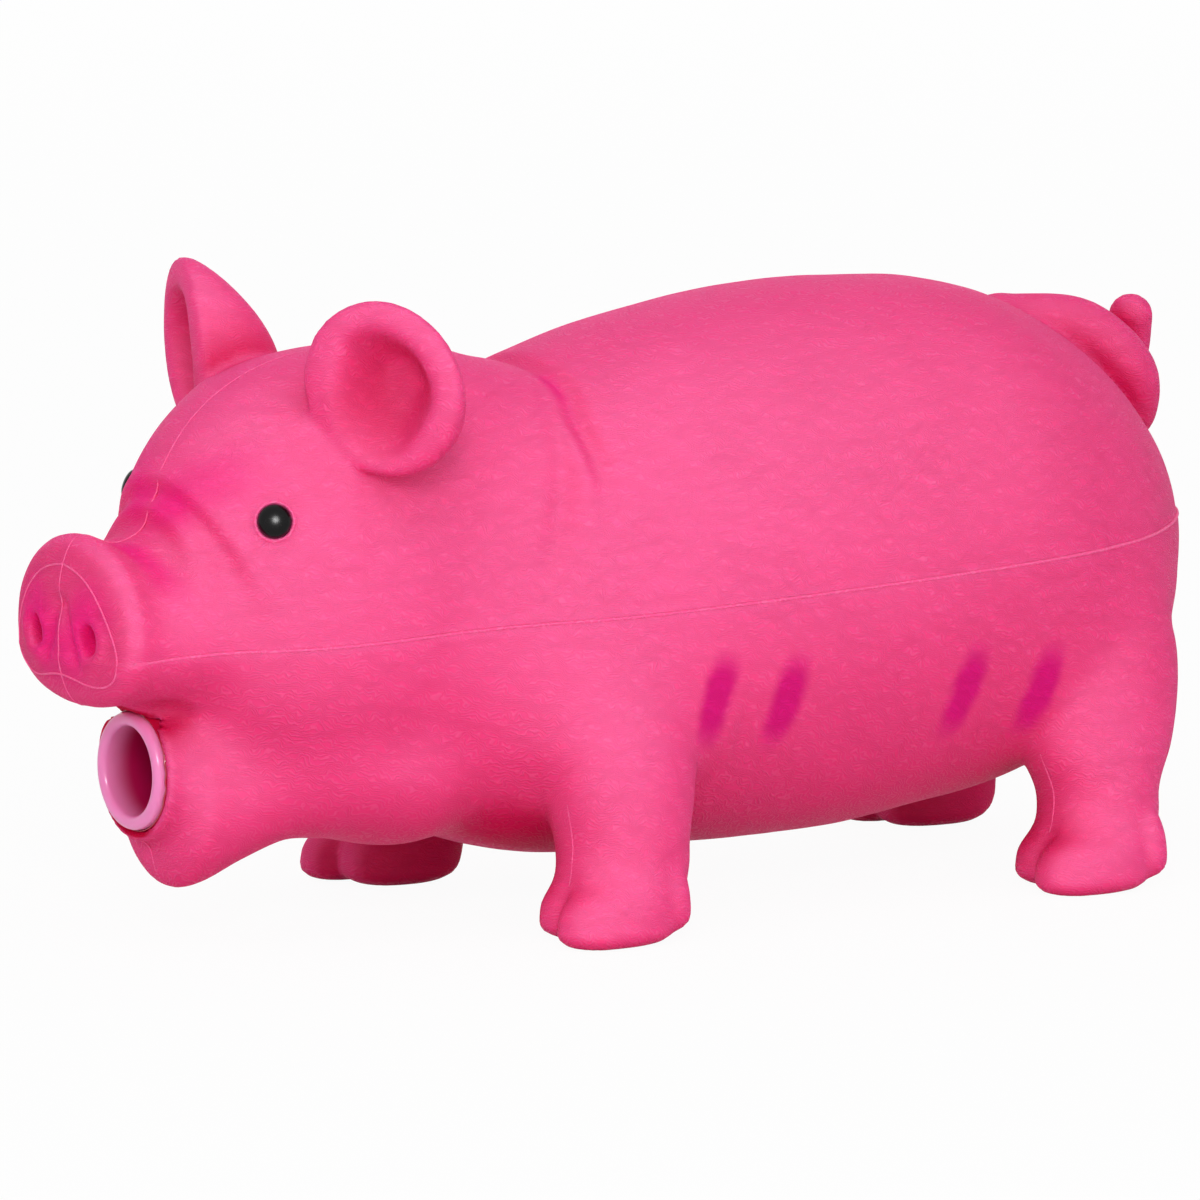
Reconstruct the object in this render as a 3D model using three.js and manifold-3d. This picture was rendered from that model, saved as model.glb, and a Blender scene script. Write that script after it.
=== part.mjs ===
// Grunting pig dog toy: a stuffed latex skin with a reed grunter glued in the mouth.
// Millimetres. The pig faces -X, its left side is -Y, the floor is z = 0.
import * as THREE from "three";
import { mergeVertices } from "three/addons/utils/BufferGeometryUtils.js";
import Module from "manifold-3d";

const wasm = await Module();
wasm.setup();

// Gap between pieces that touch on the real toy, and how far a cutting body reaches past a cut
const GAP = 0.3;
const PAST = 1;

// Latex skin and its mould line
const SKIN_WALL = 2.4;
const SEAM_FRONT_HEIGHT = 50.4;
const SEAM_BACK_HEIGHT = 59;
const SEAM_WIDTH = 1;
const SEAM_PROUD = 0.45;

// Torso
const TORSO_FRONT = -60;
const TORSO_LENGTH = 167.2;
const TORSO_WIDTH = 85;
const BELLY_HEIGHT = 9;
const BACK_HEIGHT = 101;
const SHOULDER_ROUND = 44;
const RUMP_ROUND = 52;

// Head, set in the front of the torso
const HEAD_LENGTH = 81;
const HEAD_WIDTH = 59.5;
const HEAD_HEIGHT = 76;
const HEAD_BACK_IN_TORSO = 49;
const HEAD_MIDDLE_HEIGHT = 59;
const NECK_WIDTH = 44;
const NECK_HEIGHT = 46;

// Snout
const SNOUT_REACH = 16.2;
const SNOUT_WIDTH = 37;
const SNOUT_HEIGHT = 28.2;
const SNOUT_MIDDLE_HEIGHT = 55.6;
const NOSTRIL_SPACING = 11.6;
const NOSTRIL_DROP = 1.2;
const NOSTRIL_WIDTH = 4.2;
const NOSTRIL_LENGTH = 10.6;
const NOSTRIL_DEPTH = 3.6;
const NOSTRIL_TILT = 41;

// Jaw
const LIP_WALL = 2;
const CHIN_WIDTH = 28;
const CHIN_CLEARANCE = 9.8;
const THROAT_WIDTH = 58;
const THROAT_CLEARANCE = 16;

// Ears. The left one is turned out further than the right one.
const EAR_LENGTH = 28.8;
const EAR_WIDTH = 29.6;
const EAR_ROOT_THICKNESS = 22.5;
const EAR_TIP_THICKNESS = 6.5;
const EAR_RIM = 5;
const EAR_SPACING = 62.6;
const EAR_BELOW_CROWN = 2.9;
const EAR_BEHIND_FACE = 25.4;
const LEFT_EAR_TURN = 29;
const RIGHT_EAR_TURN = 19;

// Legs and feet
const FEET_INSIDE_FLANKS = 7.25;
const LEG_WIDTH = 21.6;
const HOCK_WIDTH = 20;
const LEG_TOP_HEIGHT = 50;
const THIGH_TOP_HEIGHT = 58;
const LEG_LEAN = 3;
const SHOULDER_LENGTH = 27;
const THIGH_LENGTH = 31.5;
const FRONT_HEEL = 2.9;
const HIND_HEEL = 3.3;
const FRONT_LEG_BEHIND_SHOULDER = 38.2;
const HIND_LEG_AHEAD_OF_RUMP = 27.6;
const HIND_STAGGER = 13;
const TOE_LENGTH = 19.4;
const TOE_WIDTH = 12.4;
const TOE_HEIGHT = 16;
const TOE_SPACING = 9.4;
const DEWCLAW_WIDTH = 8;

// Tail
const TAIL_WIDTH = 11.5;
const TAIL_TIP_WIDTH = 7.5;

// Eyes, set by hand: the right one sits further forward and higher than the left one
const EYE_DIAMETER = 6.4;
const EYE_DEPTH = 4.4;
const EYE_SUNK = 1.9;
const LEFT_EYE_BEHIND_FACE = 12.2;
const LEFT_EYE_HEIGHT = 72.6;
const RIGHT_EYE_BEHIND_FACE = 9.4;
const RIGHT_EYE_HEIGHT = 73.8;

// Grunter
const TUBE_OUTER = 19.5;
const TUBE_BORE = 14.9;
const TUBE_LENGTH = 34;
const TUBE_UNDER_SNOUT = 2.05;
const TUBE_AHEAD_OF_FACE = 3.4;
const GLUE_THICKNESS = 0.6;
const GLUE_LENGTH = 14;
const PLUG_DEPTH = 14;
const PLUG_LENGTH = 6;
const TROUGH_LENGTH = 10.5;
const TROUGH_WALL = 1.2;
const CHANNEL_WIDTH = 4.4;
const REED_WIDTH = 8;
const REED_THICKNESS = 0.5;
const REED_TIP_GAP = 1.1;
const GUARD_FLANGE = 1.6;
const GUARD_SPIGOT = 1.8;
const GUARD_HOLE = 2.2;
const GUARD_HOLES = 6;

// Places that follow from the sizes above
const torsoBack = TORSO_FRONT + TORSO_LENGTH;
const footTrack = TORSO_WIDTH - 2 * FEET_INSIDE_FLANKS;
const headBack = TORSO_FRONT + HEAD_BACK_IN_TORSO;
const face = headBack - HEAD_LENGTH;
const snoutFront = face - SNOUT_REACH;
const tubeFront = face - TUBE_AHEAD_OF_FACE;
const tubeBack = tubeFront + TUBE_LENGTH;
const tubeHeight = SNOUT_MIDDLE_HEIGHT - SNOUT_HEIGHT / 2 - TUBE_UNDER_SNOUT - TUBE_OUTER / 2;
const glueOuter = TUBE_OUTER / 2 + GAP + GLUE_THICKNESS;
const seat = glueOuter + GAP;

// Smooth value through a few [place, value] pairs
function through(...pairs) {
  const places = pairs.map((pair) => pair[0]);
  const values = pairs.map((pair) => pair[1]);
  const curve = new THREE.CubicInterpolant(places, values, 1, new Float32Array(1));
  return (place) => curve.evaluate(place)[0];
}

// Share of full size at a distance from a rounded end
function roundEnd(distance, length, power = 2) {
  const left = Math.max(0, 1 - distance / length);
  return Math.pow(Math.max(0, 1 - Math.pow(left, power)), 1 / power);
}

// Closed body of rings along a path. ring(t) gives the middle and the half axes, down for
// the lower half where it differs from up, lean widens it, and power squares the corners.
function loft(rings, sides, ring) {
  const points = [];
  const addPoint = (p) => points.push(p.x, p.y, p.z);
  const rounded = (value, power) => Math.sign(value) * Math.pow(Math.abs(value), 2 / power);
  for (let i = 0; i <= rings; i += 1) {
    const section = ring((1 - Math.cos((Math.PI * i) / rings)) / 2);
    const { middle, across, up, down = up, lean = 0, power = 2 } = section;
    if (i === 0 || i === rings) {
      addPoint(middle);
      continue;
    }
    for (let j = 0; j < sides; j += 1) {
      const angle = (2 * Math.PI * j) / sides;
      const rise = rounded(Math.sin(angle), power);
      const reach = rounded(Math.cos(angle), power) * (1 - lean * rise);
      addPoint(middle.clone().addScaledVector(across, reach).addScaledVector(rise < 0 ? down : up, rise));
    }
  }
  const first = (i) => 1 + (i - 1) * sides;
  const last = first(rings);
  const faces = [];
  for (let j = 0; j < sides; j += 1) {
    const k = (j + 1) % sides;
    faces.push(0, first(1) + k, first(1) + j, last, last - sides + j, last - sides + k);
    for (let i = 1; i < rings - 1; i += 1) {
      const [a, b, c, d] = [first(i) + j, first(i) + k, first(i + 1) + k, first(i + 1) + j];
      faces.push(a, b, c, a, c, d);
    }
  }
  const middle = ring(0.5);
  const ahead = ring(0.52).middle.clone().sub(middle.middle);
  if (new THREE.Vector3().crossVectors(middle.across, middle.up).dot(ahead) < 0) {
    faces.reverse();
  }
  const geometry = new THREE.BufferGeometry();
  geometry.setAttribute("position", new THREE.Float32BufferAttribute(points, 3));
  geometry.setIndex(faces);
  return geometry;
}

// Body along X whose height, width and middle follow curves, grown by an even amount
function swell({ front, back, frontRound, backRound, power, lean, section, rings, sides }, grow) {
  const start = front - grow;
  const end = back + grow;
  return loft(rings, sides, (t) => {
    const x = start + (end - start) * t;
    const { middle, halfWidth, halfHeight, squareness } = section((x - front) / (back - front));
    const share =
      roundEnd(x - start, frontRound + grow, power) * roundEnd(end - x, backRound + grow, power);
    return {
      middle: new THREE.Vector3(x, 0, middle),
      across: new THREE.Vector3(0, (halfWidth + grow) * share, 0),
      up: new THREE.Vector3(0, 0, (halfHeight + grow) * share),
      lean,
      power: squareness,
    };
  });
}

function solid(geometry) {
  const bare = geometry.clone();
  bare.deleteAttribute("normal");
  bare.deleteAttribute("uv");
  const merged = mergeVertices(bare, 1e-4);
  const vertProperties = new Float32Array(merged.attributes.position.array);
  const triVerts = new Uint32Array(merged.index.array);
  return new wasm.Manifold(new wasm.Mesh({ numProp: 3, vertProperties, triVerts }));
}

function box(from, to) {
  const size = new THREE.Vector3().subVectors(to, from);
  const middle = new THREE.Vector3().addVectors(from, to).multiplyScalar(0.5);
  return solid(new THREE.BoxGeometry(size.x, size.y, size.z).translate(middle.x, middle.y, middle.z));
}

function ellipsoid(middle, halves, around = 18, down = 12) {
  const ball = new THREE.SphereGeometry(1, around, down).scale(halves.x, halves.y, halves.z);
  return ball.translate(middle.x, middle.y, middle.z);
}

// Rod along X at the tube's height
function rod(from, to, radius, sides = 32) {
  const bar = new THREE.CylinderGeometry(radius, radius, to - from, sides).rotateZ(Math.PI / 2);
  return solid(bar.translate((from + to) / 2, 0, tubeHeight));
}

// Turned ring along X: the profile is [place along X, radius] pairs
function turned(profile, sides = 36) {
  const outline = profile.map(([x, radius]) => new THREE.Vector2(radius, x));
  return solid(new THREE.LatheGeometry(outline, sides).rotateZ(-Math.PI / 2).translate(0, 0, tubeHeight));
}

const point = (x, y, z) => new THREE.Vector3(x, y, z);

// Torso: fuller behind the shoulders, flat belly, round rump
const torsoMiddle = (BELLY_HEIGHT + BACK_HEIGHT) / 2;
const torsoHalfHeight = (BACK_HEIGHT - BELLY_HEIGHT) / 2;
const torsoRise = through([0, -9], [0.2, -5.1], [0.36, -2], [0.55, 0], [0.75, 1], [1, -1.5]);
const torsoHeight = through([0, 0.82], [0.2, 0.875], [0.36, 0.956], [0.55, 1], [0.75, 0.945], [1, 0.9]);
const torsoBreadth = through([0, 0.82], [0.2, 0.88], [0.38, 0.97], [0.55, 1], [0.75, 0.985], [1, 0.96]);
const TORSO = {
  front: TORSO_FRONT,
  back: torsoBack,
  frontRound: SHOULDER_ROUND,
  backRound: RUMP_ROUND,
  power: 2,
  lean: 0.03,
  rings: 20,
  sides: 26,
  section: (s) => ({
    middle: torsoMiddle + torsoRise(s),
    halfHeight: torsoHalfHeight * torsoHeight(s),
    halfWidth: (TORSO_WIDTH / 2) * torsoBreadth(s),
    squareness: 2.15,
  }),
};

// Head: a high blunt forehead on broad cheeks
const HEAD = {
  front: face,
  back: headBack,
  frontRound: HEAD_LENGTH / 2,
  backRound: HEAD_LENGTH / 2,
  power: 2.45,
  lean: 0.06,
  rings: 16,
  sides: 24,
  section: () => ({
    middle: HEAD_MIDDLE_HEIGHT,
    halfHeight: HEAD_HEIGHT / 2,
    halfWidth: HEAD_WIDTH / 2,
    squareness: 2.2,
  }),
};

// Half width of the head's skin at a place on it
function headSide(x, z) {
  const share = roundEnd(x - HEAD.front, HEAD.frontRound, HEAD.power);
  const { middle, halfHeight, halfWidth, squareness } = HEAD.section();
  const rise = (z - middle) / (halfHeight * share);
  const reach = Math.pow(1 - Math.pow(Math.abs(rise), squareness), 1 / squareness);
  return halfWidth * share * reach * (1 - HEAD.lean * rise);
}

// Body with its raised mould line, grown by an even amount
function withSeam(body, grow) {
  const half = SEAM_WIDTH / 2 + grow;
  const reach = TORSO_LENGTH;
  const slope = Math.atan2(SEAM_BACK_HEIGHT - SEAM_FRONT_HEIGHT, torsoBack - snoutFront);
  const slice = box(point(-reach, -reach, -half), point(reach, reach, half))
    .rotate([0, -THREE.MathUtils.radToDeg(slope), 0])
    .translate([(snoutFront + torsoBack) / 2, 0, (SEAM_FRONT_HEIGHT + SEAM_BACK_HEIGHT) / 2]);
  return solid(swell(body, grow)).add(solid(swell(body, grow + SEAM_PROUD)).intersect(slice));
}

// The line that runs down the middle of the forehead to the snout
function foreheadSeam(grow) {
  const half = SEAM_WIDTH / 2 + grow;
  const slice = box(
    point(face - HEAD_LENGTH, -half, SNOUT_MIDDLE_HEIGHT),
    point((face + TORSO_FRONT) / 2, half, HEAD_MIDDLE_HEIGHT + HEAD_HEIGHT),
  );
  return solid(swell(HEAD, grow + SEAM_PROUD)).intersect(slice);
}

const torsoSpace = withSeam(TORSO, GAP);
const headSpace = withSeam(HEAD, GAP).add(foreheadSeam(GAP));
const tubeSpace = rod(face - SNOUT_REACH, tubeBack + GUARD_FLANGE + 2 * GAP, seat);

// Passage between torso and head, through which the air reaches the grunter
function neckPassage(shrink) {
  const tube = new THREE.CylinderGeometry(1, 1, SHOULDER_ROUND * 1.3, 28).rotateZ(Math.PI / 2);
  tube.scale(1, NECK_WIDTH / 2 - shrink, NECK_HEIGHT / 2 - shrink);
  return solid(tube.translate(TORSO_FRONT + SHOULDER_ROUND * 0.45, 0, HEAD_MIDDLE_HEIGHT));
}

const torsoCavity = { ...TORSO, rings: 14, sides: 18 };
const headCavity = { ...HEAD, rings: 12, sides: 16 };

const torso = withSeam(TORSO, 0)
  .subtract(solid(swell(torsoCavity, -SKIN_WALL)))
  .subtract(neckPassage(0))
  .subtract(tubeSpace);

// Eyes: domed beads square to the skin, set in sockets in the face
function eyeBead(side, grow) {
  const x = face + (side < 0 ? LEFT_EYE_BEHIND_FACE : RIGHT_EYE_BEHIND_FACE);
  const z = side < 0 ? LEFT_EYE_HEIGHT : RIGHT_EYE_HEIGHT;
  const step = EYE_DIAMETER / 4;
  const slopeX = (headSide(x + step, z) - headSide(x - step, z)) / (2 * step);
  const slopeZ = (headSide(x, z + step) - headSide(x, z - step)) / (2 * step);
  const outward = point(-slopeX, side, -slopeZ).normalize();
  const radius = EYE_DIAMETER / 2 + grow;
  const bead = ellipsoid(point(0, 0, 0), point(radius, EYE_DEPTH / 2 + grow, radius));
  bead.applyQuaternion(new THREE.Quaternion().setFromUnitVectors(point(0, 1, 0), outward));
  const middle = point(x, side * headSide(x, z), z).addScaledVector(outward, EYE_DEPTH / 2 - EYE_SUNK);
  return solid(bead.translate(middle.x, middle.y, middle.z));
}

const head = withSeam(HEAD, 0)
  .add(foreheadSeam(0))
  .subtract(solid(swell(headCavity, -SKIN_WALL)))
  .subtract(torsoSpace)
  .subtract(tubeSpace)
  .subtract(eyeBead(-1, GAP))
  .subtract(eyeBead(1, GAP));

// Snout: a blunt disc with a rounded rim on a slightly waisted root, wider below
const snoutWaist = through([0, 1], [0.2, 1], [0.38, 0.87], [0.6, 1], [1, 1.14]);
const SNOUT = {
  front: snoutFront,
  back: face + SNOUT_REACH,
  frontRound: SNOUT_REACH * 0.34,
  backRound: SNOUT_REACH,
  power: 2.4,
  lean: 0.1,
  rings: 16,
  sides: 22,
  section: (s) => ({
    middle: SNOUT_MIDDLE_HEIGHT,
    halfHeight: (SNOUT_HEIGHT / 2) * snoutWaist(s),
    halfWidth: (SNOUT_WIDTH / 2) * (0.5 + 0.5 * snoutWaist(s)),
    squareness: 2.2,
  }),
};

function nostril(side) {
  const halves = point(NOSTRIL_DEPTH, NOSTRIL_WIDTH / 2, NOSTRIL_LENGTH / 2);
  const hollow = ellipsoid(point(0, 0, 0), halves).rotateX(side * THREE.MathUtils.degToRad(NOSTRIL_TILT));
  const height = SNOUT_MIDDLE_HEIGHT - NOSTRIL_DROP;
  return solid(hollow.translate(snoutFront + GAP, (side * NOSTRIL_SPACING) / 2, height));
}

const snoutSpace = solid(swell(SNOUT, GAP));
const snout = solid(swell(SNOUT, 0))
  .subtract(headSpace)
  .subtract(tubeSpace)
  .subtract(nostril(-1))
  .subtract(nostril(1));

// Jaw: a round chin and the throat behind it, with the lip that holds the tube
const jawFront = face + GAP;
const jawBack = TORSO_FRONT + SHOULDER_ROUND / 2;
const jawTop = tubeHeight + TUBE_OUTER * 0.6;
const dip = (CHIN_CLEARANCE + THROAT_CLEARANCE) / 2;
const jawBottom = through(
  [0, CHIN_CLEARANCE],
  [0.13, CHIN_CLEARANCE],
  [0.27, dip],
  [0.42, THROAT_CLEARANCE],
  [0.56, THROAT_CLEARANCE],
  [1, CHIN_CLEARANCE],
);
const jawBreadth = through(
  [0, CHIN_WIDTH],
  [0.25, CHIN_WIDTH * 1.08],
  [0.6, THROAT_WIDTH * 0.8],
  [1, THROAT_WIDTH],
);
const JAW = {
  front: jawFront,
  back: jawBack,
  frontRound: (jawBack - jawFront) * 0.13,
  backRound: (jawBack - jawFront) * 0.4,
  power: 2.2,
  lean: 0,
  rings: 18,
  sides: 20,
  section: (s) => ({
    middle: (jawTop + jawBottom(s)) / 2,
    halfHeight: (jawTop - jawBottom(s)) / 2,
    halfWidth: jawBreadth(s) / 2,
    squareness: 2,
  }),
};
const jaw = solid(swell(JAW, 0))
  .add(rod(face, TORSO_FRONT, seat + LIP_WALL))
  .subtract(headSpace)
  .subtract(torsoSpace)
  .subtract(snoutSpace)
  .subtract(tubeSpace);

// Ears: round dishes with a rolled rim, thicker towards the heel, that face forward and outward
function ear(side, turn) {
  const angle = THREE.MathUtils.degToRad(turn);
  const facing = point(-Math.cos(angle), side * Math.sin(angle), -0.06).normalize();
  const along = point(0.25, side * 0.58, 0.77);
  along.addScaledVector(facing, -along.dot(facing)).normalize();
  const across = new THREE.Vector3().crossVectors(facing, along);
  const height = HEAD_MIDDLE_HEIGHT + HEAD_HEIGHT / 2 - EAR_BELOW_CROWN;
  const middle = point(face + EAR_BEHIND_FACE, (side * EAR_SPACING) / 2, height);
  const roll = EAR_RIM * 0.52;
  const shell = loft(16, 22, (t) => {
    const share = 2 * Math.sqrt(t * (1 - t));
    const thick = THREE.MathUtils.lerp(EAR_ROOT_THICKNESS, EAR_TIP_THICKNESS, t);
    return {
      middle: middle.clone().addScaledVector(along, EAR_LENGTH * (t - 0.5)).addScaledVector(facing, -roll),
      across: across.clone().multiplyScalar((EAR_WIDTH / 2) * share),
      up: facing.clone().multiplyScalar(roll * share),
      down: facing.clone().multiplyScalar((thick - roll) * share),
      power: 2.2,
    };
  });
  const rim = EAR_RIM * 0.75;
  const deep = (EAR_ROOT_THICKNESS + EAR_TIP_THICKNESS) * 0.32;
  const dish = ellipsoid(
    point(-roll * 0.8, -side * roll * 0.4, 0),
    point(EAR_LENGTH / 2 - rim, EAR_WIDTH / 2 - rim, deep),
    22,
  );
  dish.applyMatrix4(new THREE.Matrix4().makeBasis(along, across, facing).setPosition(middle));
  return solid(shell).subtract(solid(dish)).subtract(headSpace).subtract(torsoSpace);
}

// Legs: stout columns on two toes with a pair of dewclaws behind
function leg(x, side, { width, topLength, topHeight, heel }) {
  const y = (side * footTrack) / 2;
  const ankle = point(x + heel, y, TOE_HEIGHT * 0.1);
  const top = point(x + LEG_LEAN, side * (footTrack / 2 - LEG_WIDTH * 0.42), LEG_TOP_HEIGHT);
  const narrow = width * 0.86;
  const calf = width * 0.4 + topLength * 0.6;
  const length = through(
    [0, narrow],
    [0.2, width],
    [0.31, width],
    [0.47, calf],
    [0.65, topLength],
    [1, topLength],
    [1.2, topLength],
  );
  const breadth = through([0, narrow], [0.22, width], [1, width * 1.25], [1.2, width * 1.25]);
  const crown = topHeight / LEG_TOP_HEIGHT;
  const column = loft(14, 18, (t) => {
    const rise = t * crown;
    const share = roundEnd(rise, 0.08) * roundEnd(crown - rise, 0.4);
    return {
      middle: ankle.clone().lerp(top, rise),
      across: point((length(rise) / 2) * share, 0, 0),
      up: point(0, (breadth(rise) / 2) * share, 0),
      power: 2.1,
    };
  });
  const toeHalves = point(TOE_LENGTH / 2, TOE_WIDTH / 2, TOE_HEIGHT / 2);
  const clawHalves = point(DEWCLAW_WIDTH / 2, DEWCLAW_WIDTH / 2, DEWCLAW_WIDTH * 0.75);
  let foot = solid(column);
  for (const way of [-1, 1]) {
    const aside = y + (way * TOE_SPACING) / 2;
    const toe = point(x - TOE_LENGTH * 0.1, aside, TOE_HEIGHT * 0.32);
    const claw = point(x + heel + DEWCLAW_WIDTH * 0.38, aside, DEWCLAW_WIDTH * 0.85);
    foot = foot.add(solid(ellipsoid(toe, toeHalves, 14, 10))).add(solid(ellipsoid(claw, clawHalves, 10, 8)));
  }
  const below = box(point(-TORSO_LENGTH, -TORSO_LENGTH, -TOE_HEIGHT), point(TORSO_LENGTH, TORSO_LENGTH, 0));
  return foot.subtract(torsoSpace).subtract(below);
}

const FRONT_LEG = {
  width: LEG_WIDTH,
  topLength: SHOULDER_LENGTH,
  topHeight: LEG_TOP_HEIGHT,
  heel: FRONT_HEEL,
};
const HIND_LEG = {
  width: HOCK_WIDTH,
  topLength: THIGH_LENGTH,
  topHeight: THIGH_TOP_HEIGHT,
  heel: HIND_HEEL,
};
const frontLegX = TORSO_FRONT + FRONT_LEG_BEHIND_SHOULDER;
const hindLegX = torsoBack - HIND_LEG_AHEAD_OF_RUMP;

// Tail: a tapered roll that lies along the rump, turns back on itself and points up
function tail() {
  const roll = TAIL_WIDTH;
  const high = torsoMiddle + torsoHalfHeight * 0.79;
  const path = new THREE.CatmullRomCurve3([
    point(torsoBack - roll * 2.5, roll * 0.1, high - roll * 0.14),
    point(torsoBack - roll * 1.2, -roll * 0.2, high - roll * 0.35),
    point(torsoBack - roll * 0.52, -roll * 0.35, high - roll),
    point(torsoBack - roll * 0.3, 0, high - roll * 1.58),
    point(torsoBack - roll * 0.1, roll * 0.65, high - roll * 1.25),
    point(torsoBack + roll * 0.1, roll * 0.6, high - roll * 0.75),
    point(torsoBack + roll * 0.1, roll * 0.48, high - roll * 0.22),
  ]);
  const steps = 200;
  const frames = path.computeFrenetFrames(steps);
  const taper = through([0, TAIL_WIDTH], [0.35, TAIL_WIDTH], [0.7, TAIL_WIDTH * 0.76], [1, TAIL_TIP_WIDTH]);
  const body = loft(28, 10, (t) => {
    const i = Math.round(t * steps);
    const half = (taper(t) / 2) * roundEnd(t, 0.06) * roundEnd(1 - t, 0.06);
    return {
      middle: path.getPointAt(t),
      across: frames.normals[i].clone().multiplyScalar(half),
      up: frames.binormals[i].clone().multiplyScalar(half),
    };
  });
  return solid(body).subtract(torsoSpace);
}

// Grunter tube with rounded ends
const tubeRound = (TUBE_OUTER - TUBE_BORE) / 4;
function tubeProfile() {
  const wallMiddle = (TUBE_OUTER + TUBE_BORE) / 4;
  const profile = [];
  for (let i = 0; i <= 6; i += 1) {
    const angle = (Math.PI * i) / 6;
    profile.push([tubeFront + tubeRound * (1 - Math.sin(angle)), wallMiddle - tubeRound * Math.cos(angle)]);
  }
  profile.push([tubeBack, TUBE_OUTER / 2], [tubeBack, TUBE_BORE / 2], profile[0]);
  return profile;
}
const grunterTube = turned(tubeProfile());

// Glue between the tube and the lip
const glueFront = face;
const glueSleeve = turned([
  [glueFront, glueOuter - GLUE_THICKNESS],
  [glueFront, glueOuter],
  [glueFront + GLUE_LENGTH, glueOuter],
  [glueFront + GLUE_LENGTH, glueOuter - GLUE_THICKNESS],
  [glueFront, glueOuter - GLUE_THICKNESS],
]);

// Reed holder: a plug with a trough behind it, open on top under the reed
const plugFront = tubeFront + PLUG_DEPTH;
const plugBack = plugFront + PLUG_LENGTH;
const plugRadius = TUBE_BORE / 2 - GAP;
const troughEnd = plugBack + TROUGH_LENGTH;
const reedLength = PLUG_LENGTH * 0.7 + TROUGH_LENGTH;
const reedFront = troughEnd - reedLength;
const reedTilt = REED_TIP_GAP / TROUGH_LENGTH;
const bedTop = tubeHeight;
const wedgeBottom = bedTop + REED_THICKNESS + 2 * GAP;
const channelHalf = CHANNEL_WIDTH / 2;
const trough = rod(plugBack - GAP, troughEnd, REED_WIDTH / 2 + TROUGH_WALL).subtract(
  box(
    point(plugBack - PAST, -TUBE_OUTER, bedTop),
    point(troughEnd + PAST, TUBE_OUTER, bedTop + TUBE_OUTER),
  ),
);
const reedSlope = solid(
  new THREE.BoxGeometry(TROUGH_LENGTH * 3, TUBE_OUTER, TUBE_OUTER)
    .translate(TROUGH_LENGTH * 1.5, 0, TUBE_OUTER / 2)
    .rotateY(reedTilt)
    .translate(plugBack, 0, bedTop),
);
const airChannel = box(
  point(plugFront - PAST, -channelHalf, bedTop - CHANNEL_WIDTH),
  point(troughEnd - TROUGH_WALL, channelHalf, bedTop + GAP),
);
const wedgeHalf = REED_WIDTH / 2 + 2 * GAP;
const wedgeSeat = box(
  point(reedFront - GAP, -wedgeHalf, bedTop),
  point(plugBack + PAST, wedgeHalf, bedTop + TUBE_OUTER),
);
const reedHolder = rod(plugFront, plugBack, plugRadius)
  .add(trough)
  .subtract(airChannel)
  .subtract(wedgeSeat)
  .subtract(reedSlope);

const reed = box(
  point(reedFront, -REED_WIDTH / 2, bedTop + GAP),
  point(troughEnd, REED_WIDTH / 2, bedTop + GAP + REED_THICKNESS),
);

const wedge = rod(reedFront, plugBack, plugRadius).intersect(
  box(
    point(reedFront, -REED_WIDTH / 2 - GAP, wedgeBottom),
    point(plugBack, REED_WIDTH / 2 + GAP, wedgeBottom + TUBE_OUTER),
  ),
);

// Guard: a spigot in the tube's inner end with a flange and a ring of air holes
const guardFront = tubeBack - GUARD_SPIGOT;
const guardBack = tubeBack + GAP + GUARD_FLANGE;
let guard = turned([
  [guardFront, 0],
  [guardFront, plugRadius],
  [tubeBack + GAP, plugRadius],
  [tubeBack + GAP, TUBE_OUTER / 2],
  [guardBack, TUBE_OUTER / 2],
  [guardBack, 0],
]);
for (let i = 0; i < GUARD_HOLES; i += 1) {
  const hole = new THREE.CylinderGeometry(GUARD_HOLE / 2, GUARD_HOLE / 2, TUBE_LENGTH, 14);
  hole.rotateZ(Math.PI / 2).translate(tubeBack, 0, plugRadius * 0.62);
  guard = guard.subtract(solid(hole.rotateX((2 * Math.PI * i) / GUARD_HOLES).translate(0, 0, tubeHeight)));
}

// Stuffing: fills torso, neck and the head round the grunter
const shrink = SKIN_WALL + GAP;
const stuffing = solid(swell(headCavity, -shrink))
  .subtract(torsoSpace.subtract(neckPassage(GAP)))
  .add(solid(swell(torsoCavity, -shrink)))
  .subtract(rod(face - SNOUT_REACH, guardBack + GAP, seat + GAP))
  .subtract(eyeBead(-1, GAP))
  .subtract(eyeBead(1, GAP));

// Materials
const material = (color, roughness) => new THREE.MeshStandardMaterial({ color, roughness, metalness: 0 });
const latex = material(0xf2447f, 0.55);
const black = material(0x0c0a0b, 0.12);
const mauve = material(0xd287b4, 0.35);
const wine = material(0x680a30, 0.4);
const clear = material(0xe6d9dc, 0.25);
const wadding = material(0xf4f2ec, 0.95);

const pig = new THREE.Group();
function add(name, body, look) {
  const mesh = body.getMesh();
  const geometry = new THREE.BufferGeometry();
  geometry.setAttribute("position", new THREE.BufferAttribute(new Float32Array(mesh.vertProperties), 3));
  geometry.setIndex(new THREE.BufferAttribute(new Uint32Array(mesh.triVerts), 1));
  geometry.computeVertexNormals();
  const piece = new THREE.Mesh(geometry, look);
  piece.name = name;
  pig.add(piece);
}

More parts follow.
